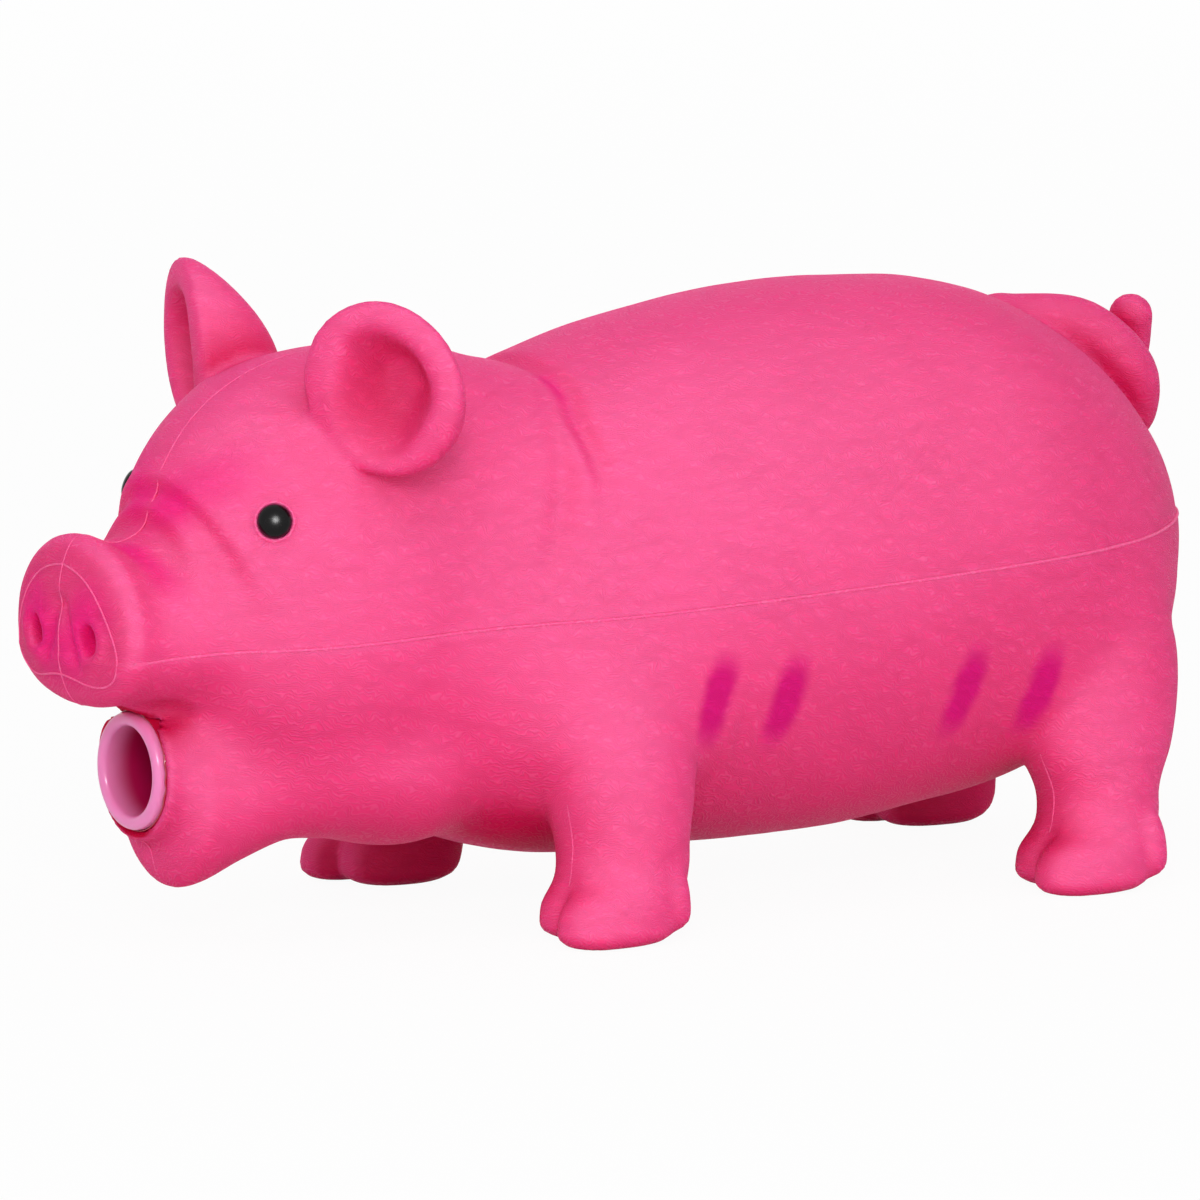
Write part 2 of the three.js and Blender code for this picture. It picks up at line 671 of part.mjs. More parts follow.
add("torso_skin", torso, latex);
add("head_skin", head, latex);
add("snout", snout, latex);
add("jaw", jaw, latex);
add("ear_left", ear(-1, LEFT_EAR_TURN), latex);
add("ear_right", ear(1, RIGHT_EAR_TURN), latex);
add("leg_front_left", leg(frontLegX, -1, FRONT_LEG), latex);
add("leg_front_right", leg(frontLegX, 1, FRONT_LEG), latex);
add("leg_hind_left", leg(hindLegX - HIND_STAGGER / 2, -1, HIND_LEG), latex);
add("leg_hind_right", leg(hindLegX + HIND_STAGGER / 2, 1, HIND_LEG), latex);
add("tail", tail(), latex);
add("eye_left", eyeBead(-1, 0), black);
add("eye_right", eyeBead(1, 0), black);
add("stuffing", stuffing, wadding);
add("grunter_tube", grunterTube, mauve);
add("glue_sleeve", glueSleeve, clear);
add("reed_holder", reedHolder, wine);
add("reed", reed, clear);
add("reed_wedge", wedge, wine);
add("stuffing_guard", guard, wine);

// The origin is on the floor under the middle of the pig's length
const whole = new THREE.Box3().setFromObject(pig);
pig.position.x = -(whole.min.x + whole.max.x) / 2;

const part = new THREE.Group();
part.name = "grunting_pig";
part.add(pig);

export default part;
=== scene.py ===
"""Grunting pig dog toy: latex skin, mould lines, eyes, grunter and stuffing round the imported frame."""
import math
from functools import partial
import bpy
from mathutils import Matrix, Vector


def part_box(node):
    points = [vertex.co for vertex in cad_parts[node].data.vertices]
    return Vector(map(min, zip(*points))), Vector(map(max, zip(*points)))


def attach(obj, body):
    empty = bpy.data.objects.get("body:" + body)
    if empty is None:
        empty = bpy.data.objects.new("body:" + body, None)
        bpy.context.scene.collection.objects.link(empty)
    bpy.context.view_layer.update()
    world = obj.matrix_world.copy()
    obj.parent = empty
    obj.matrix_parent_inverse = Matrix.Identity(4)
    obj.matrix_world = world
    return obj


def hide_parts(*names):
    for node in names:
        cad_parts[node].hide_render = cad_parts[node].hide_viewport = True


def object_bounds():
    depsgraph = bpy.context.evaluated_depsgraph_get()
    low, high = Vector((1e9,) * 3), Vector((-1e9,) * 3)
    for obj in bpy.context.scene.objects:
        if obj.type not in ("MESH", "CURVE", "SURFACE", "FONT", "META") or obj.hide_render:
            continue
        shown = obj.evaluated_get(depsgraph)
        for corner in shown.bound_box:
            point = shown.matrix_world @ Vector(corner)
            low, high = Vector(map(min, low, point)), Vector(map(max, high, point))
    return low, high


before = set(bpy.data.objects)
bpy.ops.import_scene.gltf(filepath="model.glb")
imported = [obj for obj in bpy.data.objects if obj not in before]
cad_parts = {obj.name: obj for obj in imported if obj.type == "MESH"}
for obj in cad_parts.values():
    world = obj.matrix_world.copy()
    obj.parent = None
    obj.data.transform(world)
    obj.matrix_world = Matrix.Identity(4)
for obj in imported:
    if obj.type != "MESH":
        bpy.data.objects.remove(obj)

from types import SimpleNamespace

import bmesh
import bpy
import numpy as np
import openvdb
from bpy.props import FloatProperty, FloatVectorProperty, PointerProperty
from mathutils import Matrix, Vector, noise
from mathutils.bvhtree import BVHTree

bl_info = {
    "name": "Grunting Pig Toy",
    "version": (1, 0, 0),
    "blender": (4, 5, 0),
    "location": "View3D > Sidebar > Pig",
    "description": "Builds a moulded latex pig with a reed grunter in its mouth",
    "category": "Object",
}

MM = 0.001
CAD_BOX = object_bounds()
BODY = "pig"
SKIN_NODES = (
    "torso_skin",
    "head_skin",
    "snout",
    "jaw",
    "ear_left",
    "ear_right",
    "leg_front_left",
    "leg_front_right",
    "leg_hind_left",
    "leg_hind_right",
    "tail",
)

# Fillets where the forms of the skin meet
TORSO_FILLET = 1 * MM
NECK_FILLET = 8 * MM
JAW_FILLET = 7 * MM
LIP_FILLET = 2.4 * MM
SNOUT_FILLET = 5 * MM
EAR_FILLET = 2.6 * MM
TAIL_FILLET = 1.2 * MM
ANKLE_FILLET = 6 * MM
TOE_FILLET = 1.2 * MM
CLAW_FILLET = 1 * MM

# Rounded edges of what is cut out of the skin
NOSTRIL_EDGE = 1.2 * MM
MOUTH_CORNER_EDGE = 2 * MM
EAR_BOWL_EDGE = 2 * MM
SOLE_EDGE = 2 * MM
SEAT_EDGE = 0.8 * MM
LIP_EDGE = 0.5 * MM

# Fit of the lip round the tube
LIP_GAP = 0.35 * MM
LIP_SETBACK = 1.3 * MM
LIP_DEPTH = 4 * MM

# Steps along the raised lines
LINE_STEP = 0.9 * MM
FINE_LINE_STEP = 0.7 * MM


# Values for the panel
def length(label, words, millimetres):
    """A size for the panel, shown in the scene's own unit."""
    return FloatProperty(
        name=label, description=words, default=millimetres * MM, unit="LENGTH", precision=4
    )


def amount(label, words, value, low=0.0, high=10.0):
    """A plain number for the panel."""
    return FloatProperty(name=label, description=words, default=value, min=low, max=high)


def angle(label, words, degrees):
    """An angle for the panel."""
    return FloatProperty(name=label, description=words, default=math.radians(degrees), unit="ROTATION")


def linear(level):
    """Light value of a screen level from 0 to 255."""
    share = level / 255
    return share / 12.92 if share <= 0.04045 else ((share + 0.055) / 1.055) ** 2.4


def colour(label, words, red, green, blue):
    """A colour for the panel, given as screen levels from 0 to 255."""
    return FloatVectorProperty(
        name=label,
        description=words,
        subtype="COLOR",
        size=3,
        min=0.0,
        max=1.0,
        default=(linear(red), linear(green), linear(blue)),
    )


class PigSizes(bpy.types.PropertyGroup):
    """Sizes of the latex skin."""

    torso_length: length("Torso length", "Shoulder to rump", 167.2)
    torso_width: length("Torso width", "Across the flanks", 85)
    belly_height: length("Belly height", "Floor to belly", 9)
    back_height: length("Back height", "Floor to back", 101)
    shoulder_round: length("Shoulder round", "Length of the rounded front of the torso", 44)
    rump_round: length("Rump round", "Length of the rounded rump", 52)
    head_length: length("Head length", "Face to the end inside the torso", 81)
    head_width: length("Head width", "Cheek to cheek", 59.5)
    head_height: length("Head height", "Throat to crown", 76)
    head_in_torso: length("Head in torso", "How deep the head sits in the torso", 49)
    head_middle: length("Head middle", "Floor to the middle of the head", 59)
    snout_reach: length("Snout reach", "Face to the front of the snout", 16.2)
    snout_width: length("Snout width", "Across the snout", 37)
    snout_height: length("Snout height", "Top to bottom of the snout", 28.2)
    snout_middle: length("Snout middle", "Floor to the middle of the snout", 55.6)
    nostril_depth: length("Nostril depth", "Depth of the nostrils", 4.4)
    nostril_spacing: length("Nostril spacing", "Between the nostrils", 16)
    nostril_height: length("Nostril height", "Floor to the nostrils", 53.5)
    lip_wall: length("Lip wall", "Latex round the tube", 1.5)
    chin_width: length("Chin width", "Across the chin", 28)
    chin_clearance: length("Chin clearance", "Floor to chin", 9.8)
    throat_width: length("Throat width", "Across the throat", 58)
    throat_clearance: length("Throat clearance", "Floor to throat", 16)
    ear_length: length("Ear length", "Heel to tip", 28.8)
    ear_width: length("Ear width", "Across the ear", 29.6)
    ear_root: length("Ear root", "Thickness at the heel", 22.5)
    ear_tip: length("Ear tip", "Thickness at the tip", 6.5)
    ear_rim: length("Ear rim", "Width of the rolled rim", 5)
    ear_bowl: length("Ear bowl", "Depth of the hollow in the ear", 9)
    ear_spacing: length("Ear spacing", "Between the middles of the ears", 62.6)
    ear_height: length("Ear height", "Floor to the middles of the ears", 94.1)
    ear_behind: length("Ear place", "Middles of the ears behind the face", 25.4)
    left_ear_turn: angle("Left ear turn", "How far the left ear is turned out", 29)
    right_ear_turn: angle("Right ear turn", "How far the right ear is turned out", 19)
    foot_track: length("Foot track", "Between left and right feet", 70.5)
    leg_width: length("Leg width", "Across a front leg", 21.6)
    hock_width: length("Hock width", "Across a hind leg", 20)
    leg_top: length("Leg top", "Floor to the top of a front leg", 50)
    thigh_top: length("Thigh top", "Floor to the top of a hind leg", 58)
    thigh_length: length("Thigh length", "Front to back of a hind leg's top", 31.5)
    shoulder_length: length("Shoulder length", "Front to back of a front leg's top", 27)
    front_leg: length("Front leg place", "Behind the front of the torso", 38.2)
    hind_leg: length("Hind leg place", "Ahead of the rump", 27.6)
    hind_stagger: length("Hind stagger", "Right hind foot behind the left", 13)
    toe_length: length("Toe length", "Length of a toe", 19.4)
    toe_width: length("Toe width", "Width of a toe", 12.4)
    toe_height: length("Toe height", "Height of a toe", 12.4)
    toe_spacing: length("Toe spacing", "Between the toes", 9.4)
    dewclaw: length("Dewclaw", "Width of the claws behind the foot", 8)
    tail_width: length("Tail width", "Thickness of the tail", 11.5)
    tail_tip: length("Tail tip", "Thickness of its tip", 7.5)
    seam_front: length("Mould line, front", "Height of the flank line at the snout", 50.4)
    seam_back: length("Mould line, back", "Height of the flank line at the rump", 59)
    seam_width: length("Mould line width", "Width of the raised lines", 0.65)
    seam_proud: length("Mould line rise", "How far the lines stand up", 0.3)
    grid: length("Skin grid", "Mesh size of the skin", 0.9)


class GrunterSizes(bpy.types.PropertyGroup):
    """Sizes of the tube in the mouth and of the eyes."""

    tube_outer: length("Tube width", "Outside of the tube", 19.5)
    tube_bore: length("Tube bore", "Inside of the tube", 14.9)
    tube_ahead: length("Tube ahead", "Tube ahead of the face", 3.4)
    glue: length("Glue", "Thickness of the glue and its gaps", 1.2)
    eye_width: length("Eye width", "Across an eye", 5.6)
    eye_depth: length("Eye depth", "Front to back of an eye", 4.4)


class PigColours(bpy.types.PropertyGroup):
    """Colours of the toy."""

    latex: colour("Latex", "Pink of the skin", 251, 76, 141)
    # partly the latex's own grain, partly painted highlight on the crests
    ridge: colour("Latex ridges", "Paler pink on raised grain", 255, 140, 188)
    # painted shade: this deeper pink stands in for the shade in hollows, below the body and between the
    # legs
    deep: colour("Deep latex", "Deeper pink of hollows and undersides", 206, 4, 76)
    spray: colour("Spray", "Magenta of the streaks on the flanks", 220, 22, 122)
    blush: colour("Blush", "Magenta sprayed thinly on the face", 246, 20, 130)
    cut_edge: colour("Cut latex", "Deep red of cut edges", 196, 6, 58)
    eye: colour("Eyes", "Black of the eyes", 5, 4, 5)
    tube: colour("Tube", "Mauve of the grunter tube", 248, 142, 198)
    # painted shade: this wine red stands in for the shade deep inside the tube
    bore: colour("Bore", "Wine red deep in the tube", 182, 14, 80)
    # painted shade: this dark wine stands in for the shade that falls on the holder deep in the tube
    holder: colour("Reed holder", "Dark plastic of the holder", 104, 10, 48)
    reed: colour("Reed", "Clear film of the reed", 226, 214, 210)
    wadding: colour("Stuffing", "White of the wadding", 240, 238, 232)


class PigStage(bpy.types.PropertyGroup):
    """Camera and light."""

    azimuth: amount("Azimuth", "Camera to the side, in degrees", -33.0, -360.0, 360.0)
    elevation: amount("Elevation", "Camera above the floor, in degrees", 9.0, -90.0, 90.0)
    distance: length("Distance", "Camera to the pig", 3000)
    frame_width: length("Frame width", "Width of the view at the pig", 200)
    world: amount("Room light", "Even light from all round", 0.54)
    key: amount("Key light", "Power of the lamp before the face", 9.0, 0.0, 500.0)
    catch: amount("Catch light", "Power of the lamp seen only in glossy pieces", 16.0, 0.0, 500.0)
    side: amount("Side light", "Power of the large lamp at the side", 4.0, 0.0, 500.0)
    top: amount("Top light", "Power of the lamp above", 2.4, 0.0, 500.0)
    fill: amount("Fill light", "Power of the low lamp before the face", 3.5, 0.0, 500.0)
    back: amount("Back light", "Power of the lamp on the far side", 5.0, 0.0, 500.0)


# Curves and distances
def soft_step(value, low, high):
    """Rises smoothly from 0 at low to 1 at high."""
    t = np.clip((value - low) / (high - low), 0, 1)
    return t * t * (3 - 2 * t)


def hump(value, middle, width):
    """A smooth hump of height 1."""
    return np.exp(-(((value - middle) / width) ** 2))


def curve_at(stations, values, slopes, at):
    """Smooth curve through the values at a few stations, with a slope given at each."""
    i = np.clip(np.searchsorted(stations, at, side="right") - 1, 0, len(stations) - 2)
    wide = stations[i + 1] - stations[i]
    t = np.clip((at - stations[i]) / wide, 0, 1)
    start = values[i] * (1 + 2 * t) + slopes[i] * wide * t
    end = values[i + 1] * (3 - 2 * t) + slopes[i + 1] * wide * (t - 1)
    return start * (1 - t) ** 2 + end * t * t


def through(*pairs):
    """Smooth curve through a few pairs of station and value, level at both ends."""
    stations, values = np.array(pairs, float).T
    slopes = np.gradient(values, stations)
    slopes[[0, -1]] = 0
    return lambda at: curve_at(stations, values, slopes, at)


def run_along(path):
    """Distance from the start of a path to each of its points."""
    return np.concatenate(([0], np.cumsum(np.linalg.norm(np.diff(path, axis=0), axis=1))))


def joined(a, b, fillet):
    """Union of two distances with a fillet."""
    near = np.maximum(fillet - np.abs(a - b), 0) / fillet
    return np.minimum(a, b) - near * near * fillet / 4


def carved(a, b, fillet):
    """The first distance with the second cut out of it, and a rounded edge."""
    return -joined(-a, b, fillet)


def rounding(distance, room):
    """How far a point is into a rounded end: 0 before it, 1 at the very end."""
    return np.maximum(0, 1 - distance / room)


def swell(x, y, z, front, back, rounds, power, lean, square, section):
    """Body along X whose middle, height and width follow curves: negative inside."""
    middle, half_height, half_width = section(np.clip((x - front) / (back - front), 0, 1))
    rise = (z - middle) / half_height
    reach = y / (half_width * (1 - lean * np.clip(rise, -1.2, 1.2)))
    ring = (np.abs(reach) ** square + np.abs(rise) ** square) ** (power / square)
    ends = rounding(x - front, rounds[0]) ** power + rounding(back - x, rounds[1]) ** power
    return (ring + ends) ** (1 / power) - 1


def ellipsoid(x, y, z, middle, halves, power=2):
    """Ellipsoid along the axes, squarer with a higher power: negative inside."""
    parts = [np.abs((at - m) / h) ** power for at, m, h in zip((x, y, z), middle, halves)]
    return sum(parts) ** (1 / power) - 1


class Field:
    """Distances to a surface at the points of a regular grid."""

    def __init__(self, low, high, step):
        self.low = np.array(low, float)
        self.step = step
        self.count = np.ceil((np.array(high) - self.low) / step).astype(int) + 1
        self.values = np.full(self.count, 1.0, np.float32)

    def window(self, low, high):
        """The part of the grid between two corners, and the coordinates of its points."""
        least = 4
        first = np.floor((np.array(low) - self.low) / self.step).astype(int)
        first = np.clip(first, 0, self.count - least)
        last = np.ceil((np.array(high) - self.low) / self.step).astype(int)
        last = np.clip(last, first + least, self.count)
        axes = [self.low[k] + self.step * np.arange(first[k], last[k]) for k in range(3)]
        at = [axis.astype(np.float32) for axis in np.meshgrid(*axes, indexing="ij", sparse=True)]
        return tuple(slice(a, b) for a, b in zip(first, last)), at

    def evened(self, shape):
        """A shape's values turned into distances near its surface."""
        least = 4
        slopes = np.gradient(shape, self.step)
        steep = np.sqrt(sum(slope * slope for slope in slopes))
        return shape / np.maximum(steep, least)

    def add(self, shape, low, high, fillet):
        """Joins a shape on, with a fillet that may differ from place to place."""
        where, at = self.window(low, high)
        room = fillet(*at) if callable(fillet) else fillet
        self.values[where] = joined(self.values[where], self.evened(shape(*at)), room)

    def cut(self, shape, low, high, fillet):
        """Takes a shape out, with a rounded edge."""
        where, at = self.window(low, high)
        self.values[where] = carved(self.values[where], self.evened(shape(*at)), fillet)

    def at(self, points):
        """Distances at any points."""
        place = (points - self.low) / self.step
        cell = np.clip(np.floor(place).astype(int), 0, self.count - 2)
        share = place - cell
        total = np.zeros(len(points))
        for corner in np.ndindex(2, 2, 2):
            weight = np.prod(np.where(corner, share, 1 - share), axis=1)
            total += weight * self.values[tuple((cell + corner).T)]
        return total

    def normals(self, points):
        """Outward directions of the surface near any points."""
        slopes = [self.at(points + side) - self.at(points - side) for side in np.eye(3) * self.step]
        slopes = np.array(slopes).T
        return slopes / np.maximum(np.linalg.norm(slopes, axis=1, keepdims=True), 1e-9)

    def mesh(self, name):
        """The surface as a mesh of four-sided faces."""
        band = 4 * self.step
        grid = openvdb.FloatGrid(band)
        grid.copyFromArray(np.clip(self.values, -band, band).astype(np.float32))
        grid.transform = openvdb.createLinearTransform(voxelSize=self.step)
        points, quads = grid.convertToQuads(0.0)
        made = bpy.data.meshes.new(name)
        made.from_pydata((points + self.low).tolist(), [], quads.tolist())
        return made


# Forms of the latex skin
def places(s):
    """Where the main forms stand, worked out from the tube's place in the frame."""
    g = bpy.context.scene.pig_grunter
    tube_low, tube_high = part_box("grunter_tube")
    face = tube_low.x + g.tube_ahead
    torso_front = face + s.head_length - s.head_in_torso
    torso_back = torso_front + s.torso_length
    return SimpleNamespace(
        face=face,
        head_back=face + s.head_length,
        torso_front=torso_front,
        torso_back=torso_back,
        torso_middle=(s.belly_height + s.back_height) / 2,
        torso_half=(s.back_height - s.belly_height) / 2,
        snout_front=face - s.snout_reach,
        tube_front=tube_low.x,
        tube_back=tube_high.x,
        tube_height=(tube_low.z + tube_high.z) / 2,
        seat=g.tube_outer / 2 + g.glue,
        lip=g.tube_outer / 2 + LIP_GAP,
        lip_front=tube_low.x + LIP_SETBACK,
        front_leg=torso_front + s.front_leg,
        hind_leg=torso_back - s.hind_leg,
        eyes={side: eye_middle(side) for side in (-1, 1)},
    )


def eye_middle(side):
    """Middle of an eye in the frame."""
    low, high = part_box("eye_left" if side < 0 else "eye_right")
    return np.array((low + high) / 2)


def torso_shape(s, p):
    """Torso: fuller behind the shoulders, flat belly, round rump."""
    lift = through((0, -9), (0.2, -5.1), (0.36, -2), (0.55, 0), (0.75, 1), (1, -1.5))
    tall = through((0, 0.82), (0.2, 0.875), (0.36, 0.956), (0.55, 1), (0.75, 0.945), (1, 0.9))
    broad = through((0, 0.82), (0.2, 0.88), (0.38, 0.97), (0.55, 1), (0.75, 0.985), (1, 0.96))

    def section(t):
        return p.torso_middle + lift(t) * MM, p.torso_half * tall(t), s.torso_width / 2 * broad(t)

    return partial(
        swell,
        front=p.torso_front,
        back=p.torso_back,
        rounds=(s.shoulder_round, s.rump_round),
        power=2,
        lean=0.03,
        square=2.15,
        section=section,
    )


def head_shape(s, p):
    """Head: a high blunt forehead on broad cheeks."""

    def section(t):
        return s.head_middle, s.head_height / 2, s.head_width / 2

    return partial(
        swell,
        front=p.face,
        back=p.head_back,
        rounds=(s.head_length / 2, s.head_length / 2),
        power=2.45,
        lean=0.06,
        square=2.2,
        section=section,
    )


def snout_shape(s, p):
    """Snout: a blunt disc with a rounded rim; its root is waisted above and full at the lip below."""
    above = through((0, 1), (0.14, 1), (0.31, 0.87), (0.56, 1), (1, 1.14))
    below = through((0, 1), (0.2, 1), (0.5, 1.01), (1, 1.14))
    half = s.snout_height / 2

    def section(t):
        up, down = above(t), below(t)
        return (
            s.snout_middle + (up - down) / 2 * half,
            (up + down) / 2 * half,
            s.snout_width / 2 * (0.6 + 0.4 * up),
        )

    return partial(
        swell,
        front=p.snout_front,
        back=p.face + s.snout_reach,
        rounds=(s.snout_reach * 0.34, s.snout_reach),
        power=2.4,
        lean=0.1,
        square=2.2,
        section=section,
    )


def jaw_shape(s, p):
    """Jaw: a round chin and the throat behind it."""
    chin_behind = 0.3 * MM
    front = p.face + chin_behind
    back = p.torso_front + s.shoulder_round / 2
    top = p.tube_height + bpy.context.scene.pig_grunter.tube_outer * 0.6
    dip = (s.chin_clearance + s.throat_clearance) / 2
    bottom = through(
        (0, s.chin_clearance),
        (0.13, s.chin_clearance),
        (0.27, dip),
        (0.42, s.throat_clearance),
        (0.56, s.throat_clearance),
        (1, s.chin_clearance),
    )
    breadth = through(
        (0, s.chin_width),
        (0.25, s.chin_width * 1.08),
        (0.6, s.throat_width * 0.8),
        (1, s.throat_width),
    )

    def section(t):
        return (top + bottom(t)) / 2, (top - bottom(t)) / 2, breadth(t) / 2

    return partial(
        swell,
        front=front,
        back=back,
        rounds=((back - front) * 0.105, (back - front) * 0.4),
        power=2.2,
        lean=0,
        square=2,
        section=section,
    )


def rod_shape(front, back, height, radius):
    """Rod along X."""

    def shape(x, y, z):
        around = np.sqrt(y * y + (z - height) ** 2) - radius
        return np.maximum(np.maximum(around, front - x), x - back) / radius

    return shape


def ear_frame(s, p, side):
    """Middle of an ear's rim, and its directions across, along and facing."""
    turn = s.left_ear_turn if side < 0 else s.right_ear_turn
    nod = 0.06
    facing = Vector((-math.cos(turn), side * math.sin(turn), -nod)).normalized()
    to_tip = Vector((0.25, side * 0.58, 0.77))
    along = (to_tip - facing * to_tip.dot(facing)).normalized()
    middle = Vector((p.face + s.ear_behind, side * s.ear_spacing / 2, s.ear_height))
    return middle, facing.cross(along), along, facing


def ear_shape(s, p, field, side):
    """Ear: a soft bowl, steepest below the tip and open towards the heel, thicker there."""
    middle, across, along, facing = ear_frame(s, p, side)
    half_width, half_length = s.ear_width / 2, s.ear_length / 2
    roll = s.ear_rim * 0.52
    inset = s.ear_rim * 0.6
    deepest = half_length * 0.1
    square, slant, slope = 2.2, 0.28, 0.8

    def dot(x, y, z, way):
        return (x - middle.x) * way.x + (y - middle.y) * way.y + (z - middle.z) * way.z

    def shape(x, y, z):
        u, v, w = dot(x, y, z, across), dot(x, y, z, along), dot(x, y, z, facing)
        share = np.clip(v / s.ear_length, -0.8, 0.5)
        thick = (s.ear_root + s.ear_tip) / 2 + (s.ear_tip - s.ear_root) * share
        disc = np.sqrt((u / half_width) ** 2 + (v / half_length) ** 2)
        depth = (w + roll) / np.where(w > -roll, roll, thick - roll)
        shell = (disc**square + np.abs(depth) ** square) ** (1 / square) - 1
        below = np.minimum(v - deepest, 0)
        aside = (-side * u - slant * below) / (half_width - inset)
        to_edge = np.where(below < 0, half_length + deepest, half_length - inset - deepest)
        ahead = (v - deepest) / to_edge
        bowl = s.ear_bowl * soft_step(1 - np.sqrt(aside**2 + ahead**2), 0, slope)
        return carved(field.evened(shell), field.evened((-bowl - w) / s.ear_rim), EAR_BOWL_EDGE)

    reach = s.ear_length
    return shape, np.array(middle) - reach, np.array(middle) + reach


def leg_shape(s, field, x0, side, width, top_length, top_height, heel):
    """Leg: a stout column on two toes, the outer one further ahead, with two dewclaws behind."""
    y0 = side * s.foot_track / 2
    foot = Vector((x0 + heel * 0.7, y0, 0))
    top = Vector((x0 + 3 * MM, side * (s.foot_track / 2 - s.leg_width * 0.42), s.leg_top))
    calf = width * 0.4 + top_length * 0.6
    ankle = ((0, width * 0.38), (0.07, width * 0.62), (0.16, width * 0.89), (0.25, width))
    # Which way each toe stands, how far ahead and how far raised
    toe_places = ((side, 2.2 * MM, 0), (-side, -0.4 * MM, 0.6 * MM))
    square, toe_square, top_round = 2.1, 2.3, 0.4
    long = through(*ankle, (0.31, width), (0.47, calf), (0.65, top_length), (1, top_length))
    wide = through(*ankle, (1, width * 1.25))

    def shape(x, y, z):
        t = (z - foot.z) / (top.z - foot.z)
        along = np.abs(x - foot.x - (top.x - foot.x) * t) / (long(t) / 2)
        across = np.abs(y - foot.y - (top.y - foot.y) * t) / (wide(t) / 2)
        ring = (along**square + across**square) ** (2 / square)
        column = np.sqrt(ring + rounding(top_height / s.leg_top - t, top_round) ** 2) - 1
        toes = []
        for way, ahead, raised in toe_places:
            toe = (
                x0 - s.toe_length * 0.1 - ahead,
                y0 + way * s.toe_spacing / 2,
                s.toe_height * 0.26 + raised,
            )
            halves = (s.toe_length / 2, s.toe_width / 2, s.toe_height / 2 - raised)
            toes.append(field.evened(ellipsoid(x, y, z, toe, halves, toe_square)))
        made = joined(field.evened(column), joined(*toes, TOE_FILLET), ANKLE_FILLET)
        for way in (-1, 1):
            claw = (x0 + heel + s.dewclaw * 0.42, y0 + way * s.toe_spacing * 0.64, s.dewclaw * 0.6)
            tall = np.where(z > claw[2], s.dewclaw * 1.1, s.dewclaw * 0.4)
            halves = (s.dewclaw * 0.43, s.dewclaw * 0.41, tall)
            made = joined(made, field.evened(ellipsoid(x, y, z, claw, halves)), CLAW_FILLET)
        below_floor = field.evened(z / s.leg_width + 0 * made)
        return carved(made, below_floor, SOLE_EDGE)

    reach = max(top_length, s.leg_width) * 0.8
    low = (x0 - reach, min(y0, top.y) - reach, -2 * MM)
    high = (x0 + reach, max(y0, top.y) + reach, top_height * 1.1)
    return shape, low, high


def leg_fillet(x, y, z):
    """Fillet of a leg: sharp below the belly and soft at the shoulder or thigh."""
    belly, shoulder = 18 * MM, 32 * MM
    sharp, softer = 0.8, 3
    return (sharp + softer * soft_step(z, belly, shoulder)) * MM


def tail_path(s, p):
    """Points along the tail's middle: it lies along the rump, turns back and points up."""
    roll = s.tail_width
    high = p.torso_middle + p.torso_half * 0.79
    turns = (
        (-2.5, 0.1, -0.14),
        (-1.2, -0.2, -0.35),
        (-0.52, -0.35, -1),
        (-0.3, 0, -1.58),
        (-0.1, 0.65, -1.25),
        (0.1, 0.6, -0.75),
        (0.1, 0.48, -0.22),
    )
    points = np.array([(p.torso_back + a * roll, b * roll, high + c * roll) for a, b, c in turns])
    run = run_along(points)
    run /= run[-1]
    slopes = np.gradient(points, run, axis=0)
    at = np.linspace(0, 1, 70)
    path = np.array([curve_at(run, points, slopes, t) for t in at])
    taper = through((0, roll), (0.35, roll), (0.7, roll * 0.76), (1, s.tail_tip))
    return path, taper(at) / 2


def tail_shape(s, p):
    """Tail: a tapered roll."""
    path, halves = tail_path(s, p)

    def shape(x, y, z):
        nearest = np.full(np.broadcast_shapes(x.shape, y.shape, z.shape), 1.0, np.float32)
        for middle, half in zip(path, halves):
            away = np.sqrt((x - middle[0]) ** 2 + (y - middle[1]) ** 2 + (z - middle[2]) ** 2)
            nearest = np.minimum(nearest, away - half)
        return nearest / s.tail_width

    room = s.tail_width
    return shape, path.min(0) - room, path.max(0) + room


def nostril_shape(s, p, side):
    """Nostril: a deep oval pit."""
    middle = (p.snout_front, side * s.nostril_spacing / 2, s.nostril_height)
    halves = (s.nostril_depth, 2 * MM, 2.7 * MM)
    room = np.array(halves) + 4 * MM
    return lambda x, y, z: ellipsoid(x, y, z, middle, halves), middle - room, middle + room


def mouth_corner_shape(p, side):
    """Hollow at a corner of the mouth, between the lip and the cheek."""
    middle = Vector((p.face - 2.5 * MM, side * 9.2 * MM, p.tube_height + 10.4 * MM))
    halves = (5.4 * MM, 4.6 * MM, 2.5 * MM)
    room = Vector((9 * MM,) * 3)
    return lambda x, y, z: ellipsoid(x, y, z, middle, halves), middle - room, middle + room


